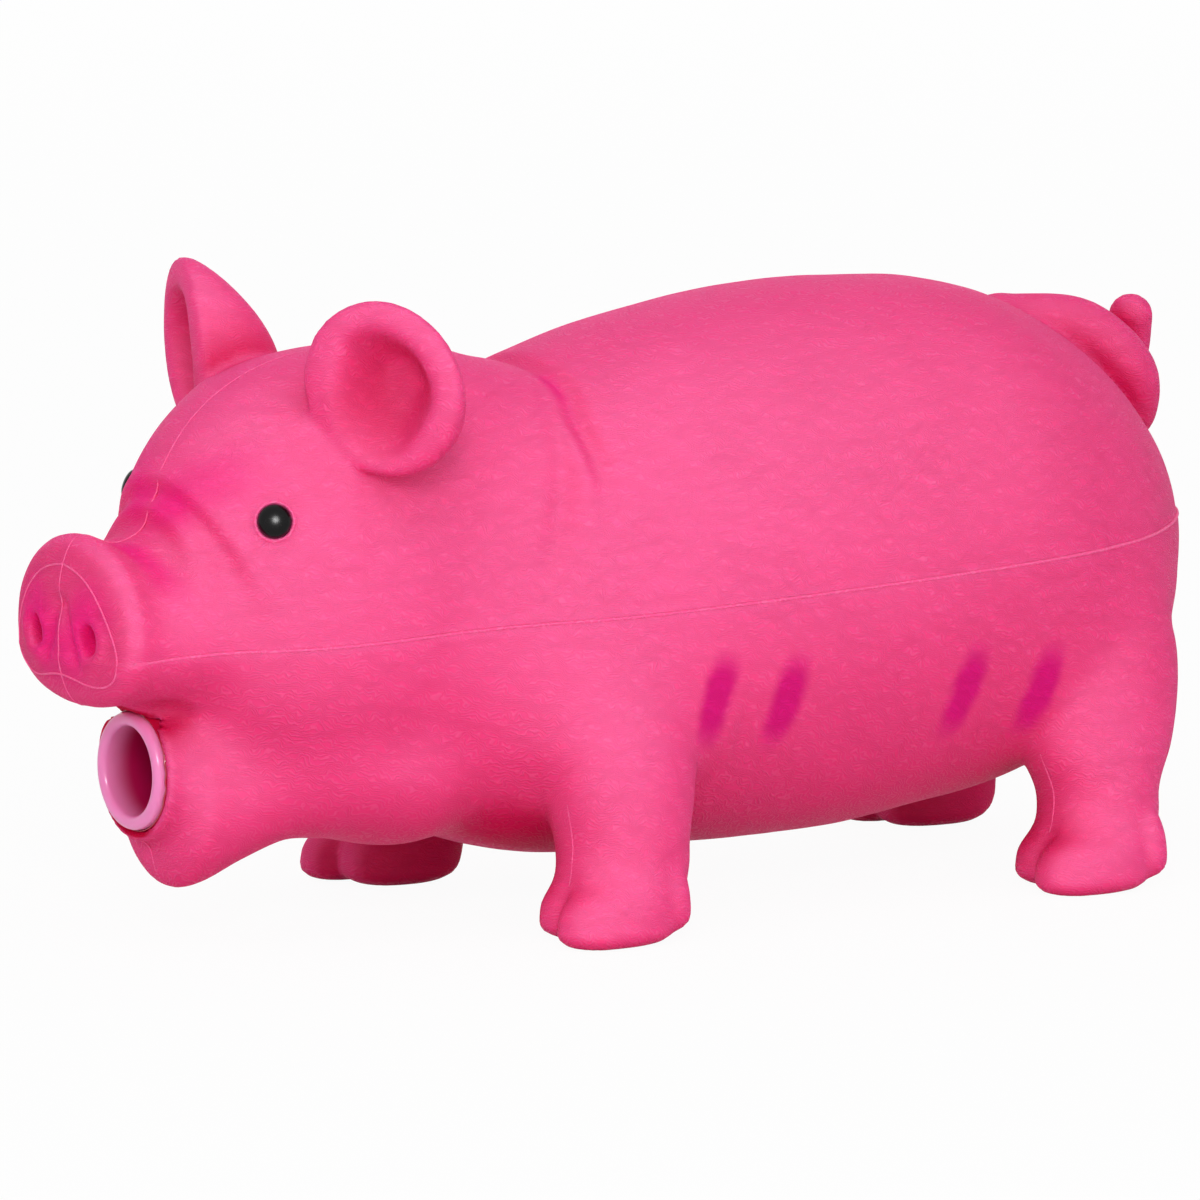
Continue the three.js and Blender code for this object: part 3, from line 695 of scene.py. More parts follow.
def skin_field(s, p):
    """Distances to the outside of the whole latex skin."""
    margin = Vector((4 * MM,) * 3)
    field = Field(CAD_BOX[0] - margin, CAD_BOX[1] + margin, s.grid)
    low, high = field.low, field.low + field.step * field.count
    field.add(torso_shape(s, p), low, high, TORSO_FILLET)
    reach = 16 * MM
    head_low = (p.face - reach, -s.head_width, 5 * MM)
    head_high = (p.head_back + reach, s.head_width, s.head_height * 1.5)
    field.add(head_shape(s, p), head_low, head_high, NECK_FILLET)
    field.add(jaw_shape(s, p), head_low, head_high, JAW_FILLET)
    lip = rod_shape(p.lip_front, p.torso_front, p.tube_height, p.lip + s.lip_wall)
    field.add(lip, head_low, head_high, LIP_FILLET)
    snout_low = (p.snout_front - reach, -s.snout_width, s.snout_middle - s.snout_height)
    snout_high = (p.face + 2 * reach, s.snout_width, s.snout_middle + s.snout_height)
    field.add(snout_shape(s, p), snout_low, snout_high, SNOUT_FILLET)
    front_heel, hind_heel = 2.9 * MM, 3.3 * MM
    front = (s.leg_width, s.shoulder_length, s.leg_top, front_heel)
    hind = (s.hock_width, s.thigh_length, s.thigh_top, hind_heel)
    for side in (-1, 1):
        field.add(*leg_shape(s, field, p.front_leg, side, *front), leg_fillet)
        x = p.hind_leg + side * s.hind_stagger / 2
        field.add(*leg_shape(s, field, x, side, *hind), leg_fillet)
        field.add(*ear_shape(s, p, field, side), EAR_FILLET)
    field.add(*tail_shape(s, p), TAIL_FILLET)
    for side in (-1, 1):
        field.cut(*nostril_shape(s, p, side), NOSTRIL_EDGE)
    for side in (-1, 1):
        field.cut(*mouth_corner_shape(p, side), MOUTH_CORNER_EDGE)
    bore_low = (p.snout_front - reach, -reach, 0)
    bore_high = (p.tube_back + reach, reach, 2.8 * reach)
    lip_back = p.face + LIP_DEPTH
    overlap, spare = 1 * MM, 3 * MM
    seat = rod_shape(lip_back, p.tube_back + spare, p.tube_height, p.seat)
    field.cut(seat, bore_low, bore_high, SEAT_EDGE)
    mouth = rod_shape(p.snout_front - reach, lip_back + overlap, p.tube_height, p.lip)
    field.cut(mouth, bore_low, bore_high, LIP_EDGE)
    return field


# Relief on the skin
def seam_height(s, p, x):
    """Height of the mould line along the flanks."""
    share = (x - p.snout_front) / (p.torso_back - p.snout_front)
    return s.seam_front + (s.seam_back - s.seam_front) * share


def mould_step(s, p, x, z):
    """The halves of the mould don't quite meet: the lower one stands proud at the flank line."""
    proud, edge, fade = 0.3 * MM, 0.5 * MM, 12 * MM
    below = seam_height(s, p, x) - z
    return proud * soft_step(below, -edge, edge) * np.exp(-np.maximum(below, 0) / fade)


def neck_folds(p, x, z):
    """Crease behind the neck, a shallow valley ahead of it and a roll between the two."""
    crease = p.face + 70.6 * MM + 2.2 * MM * soft_step(z, 84 * MM, 91 * MM)
    valley = p.face + 62 * MM + 0.4 * (z - 70.7 * MM)
    roll = (crease + valley) / 2
    creased = 2 * MM * soft_step(z, 68 * MM, 86 * MM) * hump(x, crease, 1.9 * MM)
    dipped = 0.8 * MM * soft_step(z, 56 * MM, 70 * MM) * hump(x, valley, 2.2 * MM)
    raised = 0.7 * MM * soft_step(z, 60 * MM, 76 * MM) * hump(x, roll, 2.4 * MM)
    return raised - creased - dipped


def snout_wrinkles(s, p, x, y, z):
    """Two wrinkles round the top of the snout's root."""
    groove_width, roll_width, roll_beyond = 1.6 * MM, 1.5 * MM, 2.6 * MM
    around = np.hypot(y, z - s.snout_middle)
    upper = soft_step((z - s.snout_middle) / np.maximum(around, MM), -0.05, 0.5)
    begun = soft_step(x, p.face - 7 * MM, p.face - 2 * MM)
    ended = soft_step(x, p.face + 9 * MM, p.face + 18 * MM)
    rise = 0
    for radius, deep in ((15 * MM, 0.8 * MM), (20 * MM, 0.7 * MM)):
        groove = hump(around, radius, groove_width)
        roll = hump(around, radius + roll_beyond, roll_width)
        rise = rise + deep * (0.6 * roll - groove)
    return upper * begun * (1 - ended) * rise


def nostril_folds(s, p, x, y, z):
    """Folds beside and above the nostrils, and the wings round them."""
    aside = np.abs(y)
    blunt = 1 - soft_step(x, p.snout_front + 2 * MM, p.snout_front + 4 * MM)
    beside = 1.1 * MM * hump(from_line(aside, z, (0.8, 58.6), (4.6, 50)), 0, 1.6 * MM)
    above = 0.35 * MM * hump(from_line(aside, z, (5, 57), (10.6, 57.8)), 0, 0.8 * MM)
    pit = np.hypot(aside - s.nostril_spacing / 2, z - s.nostril_height)
    wing = 0.4 * MM * hump(pit, 3.7 * MM, 1.1 * MM)
    return blunt * (wing - beside - above)


def chin_marks(p, points):
    """Dent below the lip, and a small lump beside it."""
    height = 17 * MM
    dent = np.linalg.norm(points - (p.face + 2.5 * MM, 0, height), axis=1)
    lump = np.linalg.norm(points - (p.face + 6 * MM, -6.3 * MM, height), axis=1)
    return 0.4 * MM * hump(lump, 0, 1.5 * MM) - 0.6 * MM * hump(dent, 0, 2.6 * MM)


def eye_rings(p, field, points):
    """Shallow rings round the eyes."""
    deep, radius, width, reach = 0.3 * MM, 4.3 * MM, 0.7 * MM, 9 * MM
    rise = np.zeros(len(points))
    for middle in p.eyes.values():
        away = points - middle
        out = field.normals(middle[None])[0]
        ring = np.linalg.norm(away - np.outer(away @ out, out), axis=1)
        close = np.linalg.norm(away, axis=1) < reach
        rise -= np.where(close, deep * hump(ring, radius, width), 0)
    return rise


def relief(s, p, field, points):
    """How far folds, wrinkles and rims stand out from the plain skin."""
    x, y, z = points.T
    return (
        mould_step(s, p, x, z)
        + neck_folds(p, x, z)
        + snout_wrinkles(s, p, x, y, z)
        + nostril_folds(s, p, x, y, z)
        + chin_marks(p, points)
        + eye_rings(p, field, points)
        + unevenness(points)
    )


def from_line(u, v, start, end):
    """Distance in a plane from a straight line between two points given in millimetres."""
    start, end = np.array(start) * MM, np.array(end) * MM
    span = end - start
    t = np.clip(((u - start[0]) * span[0] + (v - start[1]) * span[1]) / span.dot(span), 0, 1)
    return np.hypot(u - start[0] - t * span[0], v - start[1] - t * span[1])


def unevenness(points):
    """Slow waves of hand-poured latex."""
    slow, quick = 70, 190
    tall, low = 0.16, 0.05
    waves = [noise.noise(Vector(q) * slow) * tall + noise.noise(Vector(q) * quick) * low for q in points]
    return np.array(waves) * MM


# Meshes and raised lines
def refine(mesh, chosen):
    """Splits each chosen face in four."""
    bm = bmesh.new()
    bm.from_mesh(mesh)
    edges = {edge for face in bm.faces if chosen(face.calc_center_median()) for edge in face.edges}
    bmesh.ops.subdivide_edges(bm, edges=list(edges), cuts=1, use_grid_fill=True)
    bm.to_mesh(mesh)
    bm.free()


def vertices(mesh):
    """Places of all vertices of a mesh."""
    found = np.empty(len(mesh.vertices) * 3)
    mesh.vertices.foreach_get("co", found)
    return found.reshape(-1, 3)


def move(mesh, points):
    """Puts all vertices of a mesh in new places."""
    mesh.vertices.foreach_set("co", points.ravel())
    mesh.update()


def piece(name, mesh, material, slot, *stands_for):
    """Makes an object of a mesh and sets it on the frame's body."""
    made = bpy.data.objects.new(name, mesh)
    bpy.context.scene.collection.objects.link(made)
    mesh.materials.append(material)
    mesh.shade_smooth()
    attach(made, BODY)
    if stands_for:
        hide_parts(*stands_for)
    return made


def strip(path, outward, width, proud):
    """Raised line along a path on the skin, as rings of six points closed at the ends."""
    path, outward = np.array(path), np.array(outward)
    ahead = np.gradient(path, axis=0)
    across = np.cross(outward, ahead)
    across /= np.maximum(np.linalg.norm(across, axis=1, keepdims=True), 1e-9)
    count = len(path)
    run_out, least = 6, 0.15
    fade = np.clip(np.minimum(np.arange(count), np.arange(count)[::-1]) / run_out, least, 1)
    lens = ((-0.5, -0.25), (-0.28, 0.6), (0, 1), (0.28, 0.6), (0.5, -0.25), (0, -0.6))
    points = [
        path[i] + across[i] * a * width + outward[i] * b * proud * fade[i]
        for i in range(count)
        for a, b in lens
    ]
    sides = len(lens)
    faces = [tuple(range(sides)), tuple(range((count - 1) * sides, count * sides))[::-1]]
    for i in range(count - 1):
        for j in range(sides):
            k = (j + 1) % sides
            faces.append((i * sides + k, i * sides + j, (i + 1) * sides + j, (i + 1) * sides + k))
    return points, faces


def strips(name, lines, width, proud):
    """One mesh of several raised lines."""
    points, faces = [], []
    for path, outward in lines:
        more, around = strip(path, outward, width, proud)
        faces += [tuple(i + len(points) for i in face) for face in around]
        points += more
    made = bpy.data.meshes.new(name)
    made.from_pydata([tuple(q) for q in points], [], faces)
    return made


def eased(path, rounds=4):
    """A path with its small steps evened out."""
    path = np.array(path)
    for _ in range(rounds):
        path[1:-1] = (path[:-2] + 2 * path[1:-1] + path[2:]) / 4
    return path


def spaced(path, step):
    """Points an even step apart along a path."""
    run = run_along(path)
    at = np.linspace(0, run[-1], max(8, int(run[-1] / step)))
    return np.array([np.interp(at, run, path[:, k]) for k in range(3)]).T


def section_line(skin, point, normal):
    """The longest loop in which a plane meets the skin."""
    bm = bmesh.new()
    bm.from_mesh(skin.data)
    geometry = bm.verts[:] + bm.edges[:] + bm.faces[:]
    cut = bmesh.ops.bisect_plane(bm, geom=geometry, plane_co=point, plane_no=normal)["geom_cut"]
    following = {}
    for edge in (part for part in cut if isinstance(part, bmesh.types.BMEdge)):
        a, b = edge.verts
        following.setdefault(a, []).append(b)
        following.setdefault(b, []).append(a)
    loops = []
    while following:
        here = next(iter(following))
        loop = []
        while here is not None:
            loop.append(here.co.copy())
            ways = following.pop(here)
            here = next((way for way in ways if way in following), None)
        loops.append(loop)
    bm.free()
    return np.array(max(loops, key=len))


def on_skin(tree, field, origins, way):
    """Points where rays meet the skin, and the directions out of it."""
    hits = [tree.ray_cast(Vector(origin), Vector(way))[0] for origin in origins]
    path = spaced(eased([hit for hit in hits if hit is not None]), FINE_LINE_STEP)
    return path, field.normals(path)


# Nodes and finishes
class Wires:
    """Adds nodes to a shader tree and joins them."""

    def __init__(self, tree):
        self.tree = tree

    def add(self, kind, inputs=None, **settings):
        """A new node, each input set to a value or joined to a socket."""
        made = self.tree.nodes.new(kind)
        for name, value in settings.items():
            setattr(made, name, value)
        for name, value in (inputs or {}).items():
            if isinstance(value, bpy.types.NodeSocket):
                self.tree.links.new(value, made.inputs[name])
            else:
                made.inputs[name].default_value = value
        return made

    def math(self, operation, a, b=0.0, clamp=False):
        """A number worked out from one or two others."""
        return self.add("ShaderNodeMath", {0: a, 1: b}, operation=operation, use_clamp=clamp).outputs[0]

    def vector(self, operation, a, b):
        """A vector worked out from two others."""
        return self.add("ShaderNodeVectorMath", {0: a, 1: b}, operation=operation).outputs[0]

    def dot(self, a, b):
        """How far one vector reaches along another."""
        return self.add("ShaderNodeVectorMath", {0: a, 1: b}, operation="DOT_PRODUCT").outputs["Value"]

    def mix(self, factor, a, b):
        """One colour over another."""
        return self.add("ShaderNodeMix", {0: factor, 6: a, 7: b}, data_type="RGBA").outputs[2]

    def span(self, value, low, high, to_low=0.0, to_high=1.0, smooth=True):
        """A value's range carried over to another range."""
        shape = "SMOOTHSTEP" if smooth else "LINEAR"
        inputs = {"Value": value, "From Min": low, "From Max": high}
        inputs.update({"To Min": to_low, "To Max": to_high})
        return self.add("ShaderNodeMapRange", inputs, interpolation_type=shape).outputs["Result"]

    def shaken(self, at, scale, reach):
        """A position moved about by slow noise."""
        drift = self.add("ShaderNodeTexNoise", {"Vector": at, "Scale": scale, "Detail": 1.0})
        centred = self.vector("SUBTRACT", drift.outputs["Color"], (0.5, 0.5, 0.5))
        return self.vector("ADD", at, self.vector("MULTIPLY", centred, (reach,) * 3))

    def noise(self, at, scale, detail=2.0, roughness=0.5):
        """Cloudy noise round one half."""
        inputs = {"Vector": at, "Scale": scale, "Detail": detail, "Roughness": roughness}
        return self.add("ShaderNodeTexNoise", inputs).outputs["Fac"]

    def strongest(self, *pairs):
        """The highest of several masks, each times its strength."""
        highest = None
        for mask, strength in pairs:
            part = self.math("MULTIPLY", mask, strength)
            highest = part if highest is None else self.math("MAXIMUM", highest, part)
        return highest

    def feed(self, shader, **sockets):
        """Joins sockets to the inputs of a shader."""
        for label, socket in sockets.items():
            self.tree.links.new(socket, shader.inputs[label.replace("_", " ")])


def new_group(name, takes, gives):
    """A new shader node group with named inputs and outputs, and its own input and output nodes."""
    tree = bpy.data.node_groups.new(name, "ShaderNodeTree")
    for label, kind, value in takes:
        socket = tree.interface.new_socket(name=label, in_out="INPUT", socket_type=kind)
        if value is not None:
            socket.default_value = value
    for label, kind in gives:
        tree.interface.new_socket(name=label, in_out="OUTPUT", socket_type=kind)
    start = tree.nodes.new("NodeGroupInput")
    end = tree.nodes.new("NodeGroupOutput")
    return Wires(tree), start.outputs, end.inputs


def grain_group():
    """Latex grain: short wavy ridges, deeper in some patches than in others."""
    name = "Latex Grain"
    if name in bpy.data.node_groups:
        return bpy.data.node_groups[name]
    takes = (
        ("Position", "NodeSocketVector", None),
        ("Ridges", "NodeSocketFloat", 2200.0),
        ("Depth", "NodeSocketFloat", 1.0),
    )
    gives = (("Height", "NodeSocketFloat"), ("Ridge", "NodeSocketFloat"), ("Patch", "NodeSocketFloat"))
    wires, given, out = new_group(name, takes, gives)
    link = wires.tree.links.new
    at = given["Position"]
    slant = (0.35, 0.3, 1.0)
    bend_turns, break_turns = 7.0, 1.2
    across = wires.math("MULTIPLY", wires.dot(at, slant), given["Ridges"])
    bends = wires.math("MULTIPLY", wires.noise(at, 340.0, detail=1.0), bend_turns)
    breaks = wires.math("MULTIPLY", wires.noise(at, 1100.0, detail=0.0), break_turns)
    turns = wires.math("ADD", wires.math("ADD", across, bends), breaks)
    wave = wires.math("SINE", wires.math("MULTIPLY", turns, 2 * math.pi))
    ridge = wires.span(wave, -0.2, 1.0)
    patch = wires.span(wires.noise(at, 55.0, roughness=0.55), 0.35, 0.68)
    pores = wires.noise(at, wires.math("MULTIPLY", given["Ridges"], 2.6), detail=1.0)
    level = wires.math("ADD", ridge, wires.math("MULTIPLY", pores, 0.5))
    share = wires.span(patch, 0.0, 1.0, 0.7, 1.0, smooth=False)
    strength = wires.math("MULTIPLY", given["Depth"], share)
    link(wires.math("MULTIPLY", level, strength), out["Height"])
    link(wires.math("MULTIPLY", ridge, strength), out["Ridge"])
    link(patch, out["Patch"])
    return wires.tree


def spray_group():
    """Sprayed patch: a long soft spot of colour round a line through a point."""
    name = "Sprayed Patch"
    if name in bpy.data.node_groups:
        return bpy.data.node_groups[name]
    takes = (
        ("Position", "NodeSocketVector", None),
        ("Middle", "NodeSocketVector", (0, 0, 0)),
        ("Keep", "NodeSocketVector", (1, 1, 1)),
        ("Along", "NodeSocketVector", (0, 0, 1)),
        ("Half Length", "NodeSocketFloat", 0.007),
        ("Half Width", "NodeSocketFloat", 0.003),
        ("Softness", "NodeSocketFloat", 0.4),
    )
    wires, given, out = new_group(name, takes, (("Mask", "NodeSocketFloat"),))
    shaken = wires.shaken(given["Position"], 260.0, 0.0014)
    away = wires.vector("MULTIPLY", wires.vector("SUBTRACT", shaken, given["Middle"]), given["Keep"])
    along = wires.dot(away, given["Along"])
    beyond = wires.math("SUBTRACT", wires.dot(away, away), wires.math("MULTIPLY", along, along))
    aside = wires.math("SQRT", wires.math("MAXIMUM", beyond, 0.0))
    blunt = 3.0
    lengthwise = wires.math("ABSOLUTE", wires.math("DIVIDE", along, given["Half Length"]))
    sideways = wires.math("DIVIDE", aside, given["Half Width"])
    total = wires.math("ADD", wires.math("POWER", lengthwise, blunt), wires.math("POWER", sideways, blunt))
    reached = wires.math("POWER", total, 1 / blunt)
    inner = wires.math("SUBTRACT", 1.0, given["Softness"])
    outer = wires.math("ADD", 1.0, given["Softness"])
    wires.tree.links.new(wires.span(reached, inner, outer, 1.0, 0.0), out["Mask"])
    return wires.tree


def haze_group():
    """Moulded plastic: faint flow marks and fine specks."""
    name = "Moulding Haze"
    if name in bpy.data.node_groups:
        return bpy.data.node_groups[name]
    takes = (("Position", "NodeSocketVector", None), ("Scale", "NodeSocketFloat", 180.0))
    gives = (("Haze", "NodeSocketFloat"), ("Specks", "NodeSocketFloat"))
    wires, given, out = new_group(name, takes, gives)
    marks = wires.noise(given["Position"], given["Scale"], detail=3.0, roughness=0.6)
    wires.tree.links.new(marks, out["Haze"])
    fine_scale = wires.math("MULTIPLY", given["Scale"], 9.0)
    fine = wires.noise(given["Position"], fine_scale, detail=1.0)
    wires.tree.links.new(wires.span(fine, 0.55, 0.75), out["Specks"])
    return wires.tree


def new_finish(name, **constants):
    """A new material with its shader, its wires and the position on the piece."""
    made = bpy.data.materials.new(name)
    made.use_nodes = True
    wires = Wires(made.node_tree)
    shader = made.node_tree.nodes["Principled BSDF"]
    for label, value in constants.items():
        shader.inputs[label.replace("_", " ")].default_value = value
    at = wires.add("ShaderNodeTexCoord").outputs["Object"]
    return made, wires, shader, at


def solid_colour(rgb):
    """A colour with full cover, as sockets take it."""
    return (*rgb, 1.0)


def bumped(wires, shader, height, depth, strength=1.0):
    """Gives a shader a fine relief."""
    bump = wires.add("ShaderNodeBump", {"Height": height, "Distance": depth, "Strength": strength})
    wires.tree.links.new(bump.outputs["Normal"], shader.inputs["Normal"])


def around_tube(wires, p, split):
    """Distance from the tube's axis."""
    upward = wires.math("SUBTRACT", split["Z"], p.tube_height)
    squares = wires.math("ADD", wires.math("POWER", split["Y"], 2.0), wires.math("POWER", upward, 2.0))
    return wires.math("SQRT", squares)


def sprayer(wires, p, split):
    """A function that sprays a patch on both sides, in millimetres from face, middle and floor."""
    near_side = wires.math("MULTIPLY", wires.math("ABSOLUTE", split["Y"]), -1.0)
    place = {"X": split["X"], "Y": near_side, "Z": split["Z"]}
    paired = wires.add("ShaderNodeCombineXYZ", place).outputs[0]

    def sprayed(middle, along, half_length, half_width, softness, keep=(1, 1, 1)):
        inputs = {
            "Position": paired,
            "Middle": Vector((p.face, 0, 0)) + Vector(middle) * MM,
            "Keep": keep,
            "Along": Vector(along).normalized(),
            "Half Length": half_length * MM,
            "Half Width": half_width * MM,
            "Softness": softness,
        }
        return wires.add("ShaderNodeGroup", inputs, node_tree=spray_group()).outputs["Mask"]

    return sprayed


def blush_mask(wires, p, split, sprayed):
    """Thin magenta on the brow, the bridge of the snout, the nostrils and the neck fold."""
    brow = sprayed((5.3, -8.5, 76.4), (0.55, -0.72, 0.42), 10, 4.6, 0.8)
    spot = sprayed((2.6, -5, 74), (0, -1, 0.2), 5, 4, 0.8)
    bridge = sprayed((-5.4, -6.5, 65.4), (0.28, -0.8, -0.53), 8.5, 3, 0.8)
    neck = sprayed((72, -12, 88.5), (-0.12, -0.8, -0.58), 9, 1.4, 0.9)
    nostril = sprayed((0, -5.8, 54.4), (0, -0.66, 0.75), 7.5, 4.4, 0.7, (0, 1, 1))
    front = wires.span(split["X"], p.snout_front + 5 * MM, p.snout_front + 9 * MM, 1.0, 0.0)
    nostril = wires.math("MULTIPLY", nostril, front)
    return wires.strongest((brow, 0.5), (spot, 0.75), (bridge, 0.7), (nostril, 0.7), (neck, 0.6))


def streak_mask(wires, split, sprayed):
    """Four slanting streaks on each flank."""
    flank = wires.math("GREATER_THAN", wires.math("ABSOLUTE", split["Y"]), 20 * MM)
    slant, flat = (0.21, 0, 1), (1, 0, 1)
    middles = ((86.4, 39), (100.2, 37.6), (136, 36), (151.5, 34.8))
    streaks = [sprayed((x, 0, z), slant, 7.0, 2.8, 0.45, flat) for x, z in middles]
    return wires.strongest(*((streak, flank) for streak in streaks))


def shade_mask(wires, p, split, normal, sprayed):
    """Painted shade: deeper pink in hollows, below, between the legs, on the snout's disc and at the rump.
    """
    hollow = wires.add("ShaderNodeAmbientOcclusion", {"Distance": 34 * MM}, samples=6, only_local=True)
    hollow = wires.span(hollow.outputs["AO"], 0.25, 1.0, 0.95, 0.0)
    facing = wires.add("ShaderNodeSeparateXYZ", {0: normal}).outputs
    under = wires.span(facing["Z"], 0.2, -0.95)
    to_middle = wires.math("SIGN", wires.math("MULTIPLY", split["Y"], -1.0))
    inward = wires.span(wires.math("MULTIPLY", facing["Y"], to_middle), 0.0, 0.7)
    low = wires.span(split["Z"], 20 * MM, 38 * MM, 0.75, 0.0)
    disc = wires.span(facing["X"], -0.7, -0.95)
    ahead = wires.math("LESS_THAN", split["X"], p.snout_front + 4 * MM)
    disc = wires.math("MULTIPLY", disc, ahead)
    # painted shadow on the belly where it meets the front legs, and painted shade in the ears' bowls
    belly = sprayed((62, -18, 15), (1, 0, 0), 13, 11, 0.7)
    bowl = sprayed((27, -30, 93), (0, -0.6, 0.8), 9, 7.5, 0.6)
    shaded = wires.strongest((under, 0.46), (inward, low), (disc, 0.35), (belly, 0.95), (bowl, 0.6))
    # painted shade that deepens towards the rump
    rump = wires.span(split["X"], p.face + 80 * MM, p.torso_back, 0.0, 0.18)
    rump = wires.math("MULTIPLY", rump, wires.span(split["Z"], 22 * MM, 42 * MM))
    return wires.math("ADD", wires.math("MAXIMUM", hollow, shaded), rump, clamp=True)


def cut_edge_mask(wires, p, split):
    """Cut edge of the lip round the tube."""
    thin = wires.span(around_tube(wires, p, split), p.lip + 0.7 * MM, p.lip + 1.3 * MM, 1.0, 0.0)
    front = wires.span(split["X"], p.lip_front + MM, p.lip_front + 2 * MM, 1.0, 0.0)
    side = wires.span(split["Y"], -8 * MM, -3 * MM)
    return wires.math("MULTIPLY", wires.math("MULTIPLY", thin, front), side)


def latex_material(p, c):
    """Pink latex with wavy grain, sprayed with magenta, with painted shade and a painted sheen."""
    made, wires, shader, at = new_finish(
        "airbrushed_latex",
        Specular_IOR_Level=0.02,
        Specular_Tint=(1.0, 0.5, 0.68, 1.0),
        Subsurface_Weight=0.3,
        Subsurface_Radius=(1.0, 0.2, 0.3),
        Subsurface_Scale=0.003,
    )
    grain = wires.add("ShaderNodeGroup", {"Position": at}, node_tree=grain_group()).outputs
    split = wires.add("ShaderNodeSeparateXYZ", {0: at}).outputs
    normal = wires.add("ShaderNodeNewGeometry").outputs["Normal"]
    sprayed = sprayer(wires, p, split)
    pale, deeper = solid_colour(c.ridge), [v * 0.93 for v in c.latex]
    # paler pink on the grain's crests: partly the latex's grain, partly painted highlight
    tone = wires.mix(wires.math("MULTIPLY", grain["Ridge"], 0.24), solid_colour(c.latex), pale)
    tone = wires.mix(wires.math("MULTIPLY", grain["Patch"], 0.3), tone, solid_colour(deeper))
    # painted sheen: up to a quarter paler pink where the skin faces the key lamp
    key_lamp_way = (-0.51, -0.75, 0.43)
    painted_sheen = wires.span(wires.dot(normal, key_lamp_way), 0.6, 1.0, 0.0, 0.24)
    tone = wires.mix(painted_sheen, tone, pale)
    # painted shade: the deep pink mixed in by the shade mask
    tone = wires.mix(shade_mask(wires, p, split, normal, sprayed), tone, solid_colour(c.deep))
    tone = wires.mix(blush_mask(wires, p, split, sprayed), tone, solid_colour(c.blush))
    streaks = wires.math("MULTIPLY", streak_mask(wires, split, sprayed), 0.95)
    tone = wires.mix(streaks, tone, solid_colour(c.spray))
    tone = wires.mix(cut_edge_mask(wires, p, split), tone, solid_colour(c.cut_edge))
    wires.feed(shader, Base_Color=tone, Roughness=wires.span(grain["Ridge"], 0.0, 1.0, 0.56, 0.42))
    bumped(wires, shader, grain["Height"], 0.14 * MM, 0.8)
    return made


def flash_material(c):
    """Thin raised latex of the mould lines, tinted paler along them as painted highlight."""
    made, wires, shader, at = new_finish(
        "mould_line_latex",
        Specular_IOR_Level=0.15,
        Subsurface_Weight=0.1,
        Subsurface_Radius=(1.0, 0.25, 0.35),
        Subsurface_Scale=0.002,
    )
    inputs = {"Position": at, "Ridges": 900.0}
    grain = wires.add("ShaderNodeGroup", inputs, node_tree=grain_group()).outputs
    # painted highlight: 12 to 40 per cent of the paler ridge pink, varying with the grain
    tone = wires.span(grain["Ridge"], 0.0, 1.0, 0.12, 0.4)
    tone = wires.mix(tone, solid_colour(c.latex), solid_colour(c.ridge))
    wires.feed(shader, Base_Color=tone, Roughness=wires.span(grain["Patch"], 0.0, 1.0, 0.4, 0.55))
    bumped(wires, shader, grain["Height"], 0.06 * MM)
    return made


def plastic_material(name, rgb, rough, scale, tint=0.25, depth=0.02, **constants):
    """Moulded plastic or film with faint flow marks."""
    made, wires, shader, at = new_finish(name, **constants)
    haze = wires.add("ShaderNodeGroup", {"Position": at, "Scale": scale}, node_tree=haze_group())
    darker = [v * (1 - tint) for v in rgb]
    base = wires.mix(haze.outputs["Haze"], solid_colour(rgb), solid_colour(darker))
    dull = wires.span(haze.outputs["Specks"], 0.0, 1.0, rough, rough + 0.12)
    wires.feed(shader, Base_Color=base, Roughness=dull)
    bumped(wires, shader, haze.outputs["Haze"], depth * MM)
    return made


def tube_material(g, p, c):
    """Soft mauve vinyl, with painted shade turning it wine red deep in the bore."""
    made, wires, shader, at = new_finish(
        "tube_vinyl",
        Specular_IOR_Level=0.25,
        Subsurface_Weight=0.4,
        Subsurface_Radius=(1.0, 0.45, 0.7),
        Subsurface_Scale=0.004,
        Coat_Weight=0.15,
        Coat_Roughness=0.12,
    )
    haze = wires.add("ShaderNodeGroup", {"Position": at, "Scale": 140.0}, node_tree=haze_group())
    darker = [v * 0.86 for v in c.tube]
    base = wires.mix(haze.outputs["Haze"], solid_colour(c.tube), solid_colour(darker))
    split = wires.add("ShaderNodeSeparateXYZ", {0: at}).outputs
    bore = g.tube_bore / 2
    # painted shade: the bore's wall turns wine red from 0.8 mm to 6 mm behind the tube's front
    inside = wires.span(around_tube(wires, p, split), bore + 0.5 * MM, bore + 0.1 * MM)
    deep = wires.span(split["X"], p.tube_front + 0.8 * MM, p.tube_front + 6 * MM)
    base = wires.mix(wires.math("MULTIPLY", inside, deep), base, solid_colour(c.bore))
    dull = wires.span(haze.outputs["Specks"], 0.0, 1.0, 0.28, 0.32)
    wires.feed(shader, Base_Color=base, Roughness=dull)
    bumped(wires, shader, haze.outputs["Haze"], 0.02 * MM)
    return made


def wadding_material(c):
    """Loose white polyester wadding."""
    made, wires, shader, at = new_finish("polyester_wadding", Sheen_Weight=0.5, Sheen_Roughness=0.6)
    squeezed = wires.vector("MULTIPLY", at, (1.0, 1.0, 4.0))
    fibres = wires.noise(squeezed, 420.0, detail=4.0, roughness=0.7)
    clumps = wires.noise(at, 45.0, detail=3.0)
    shade = [v * 0.78 for v in c.wadding]
    base = wires.mix(wires.span(clumps, 0.35, 0.7), solid_colour(c.wadding), solid_colour(shade))
    wires.feed(shader, Base_Color=base, Roughness=wires.span(fibres, 0.2, 0.8, 0.8, 1.0))
    bumped(wires, shader, fibres, 0.5 * MM)
    return made


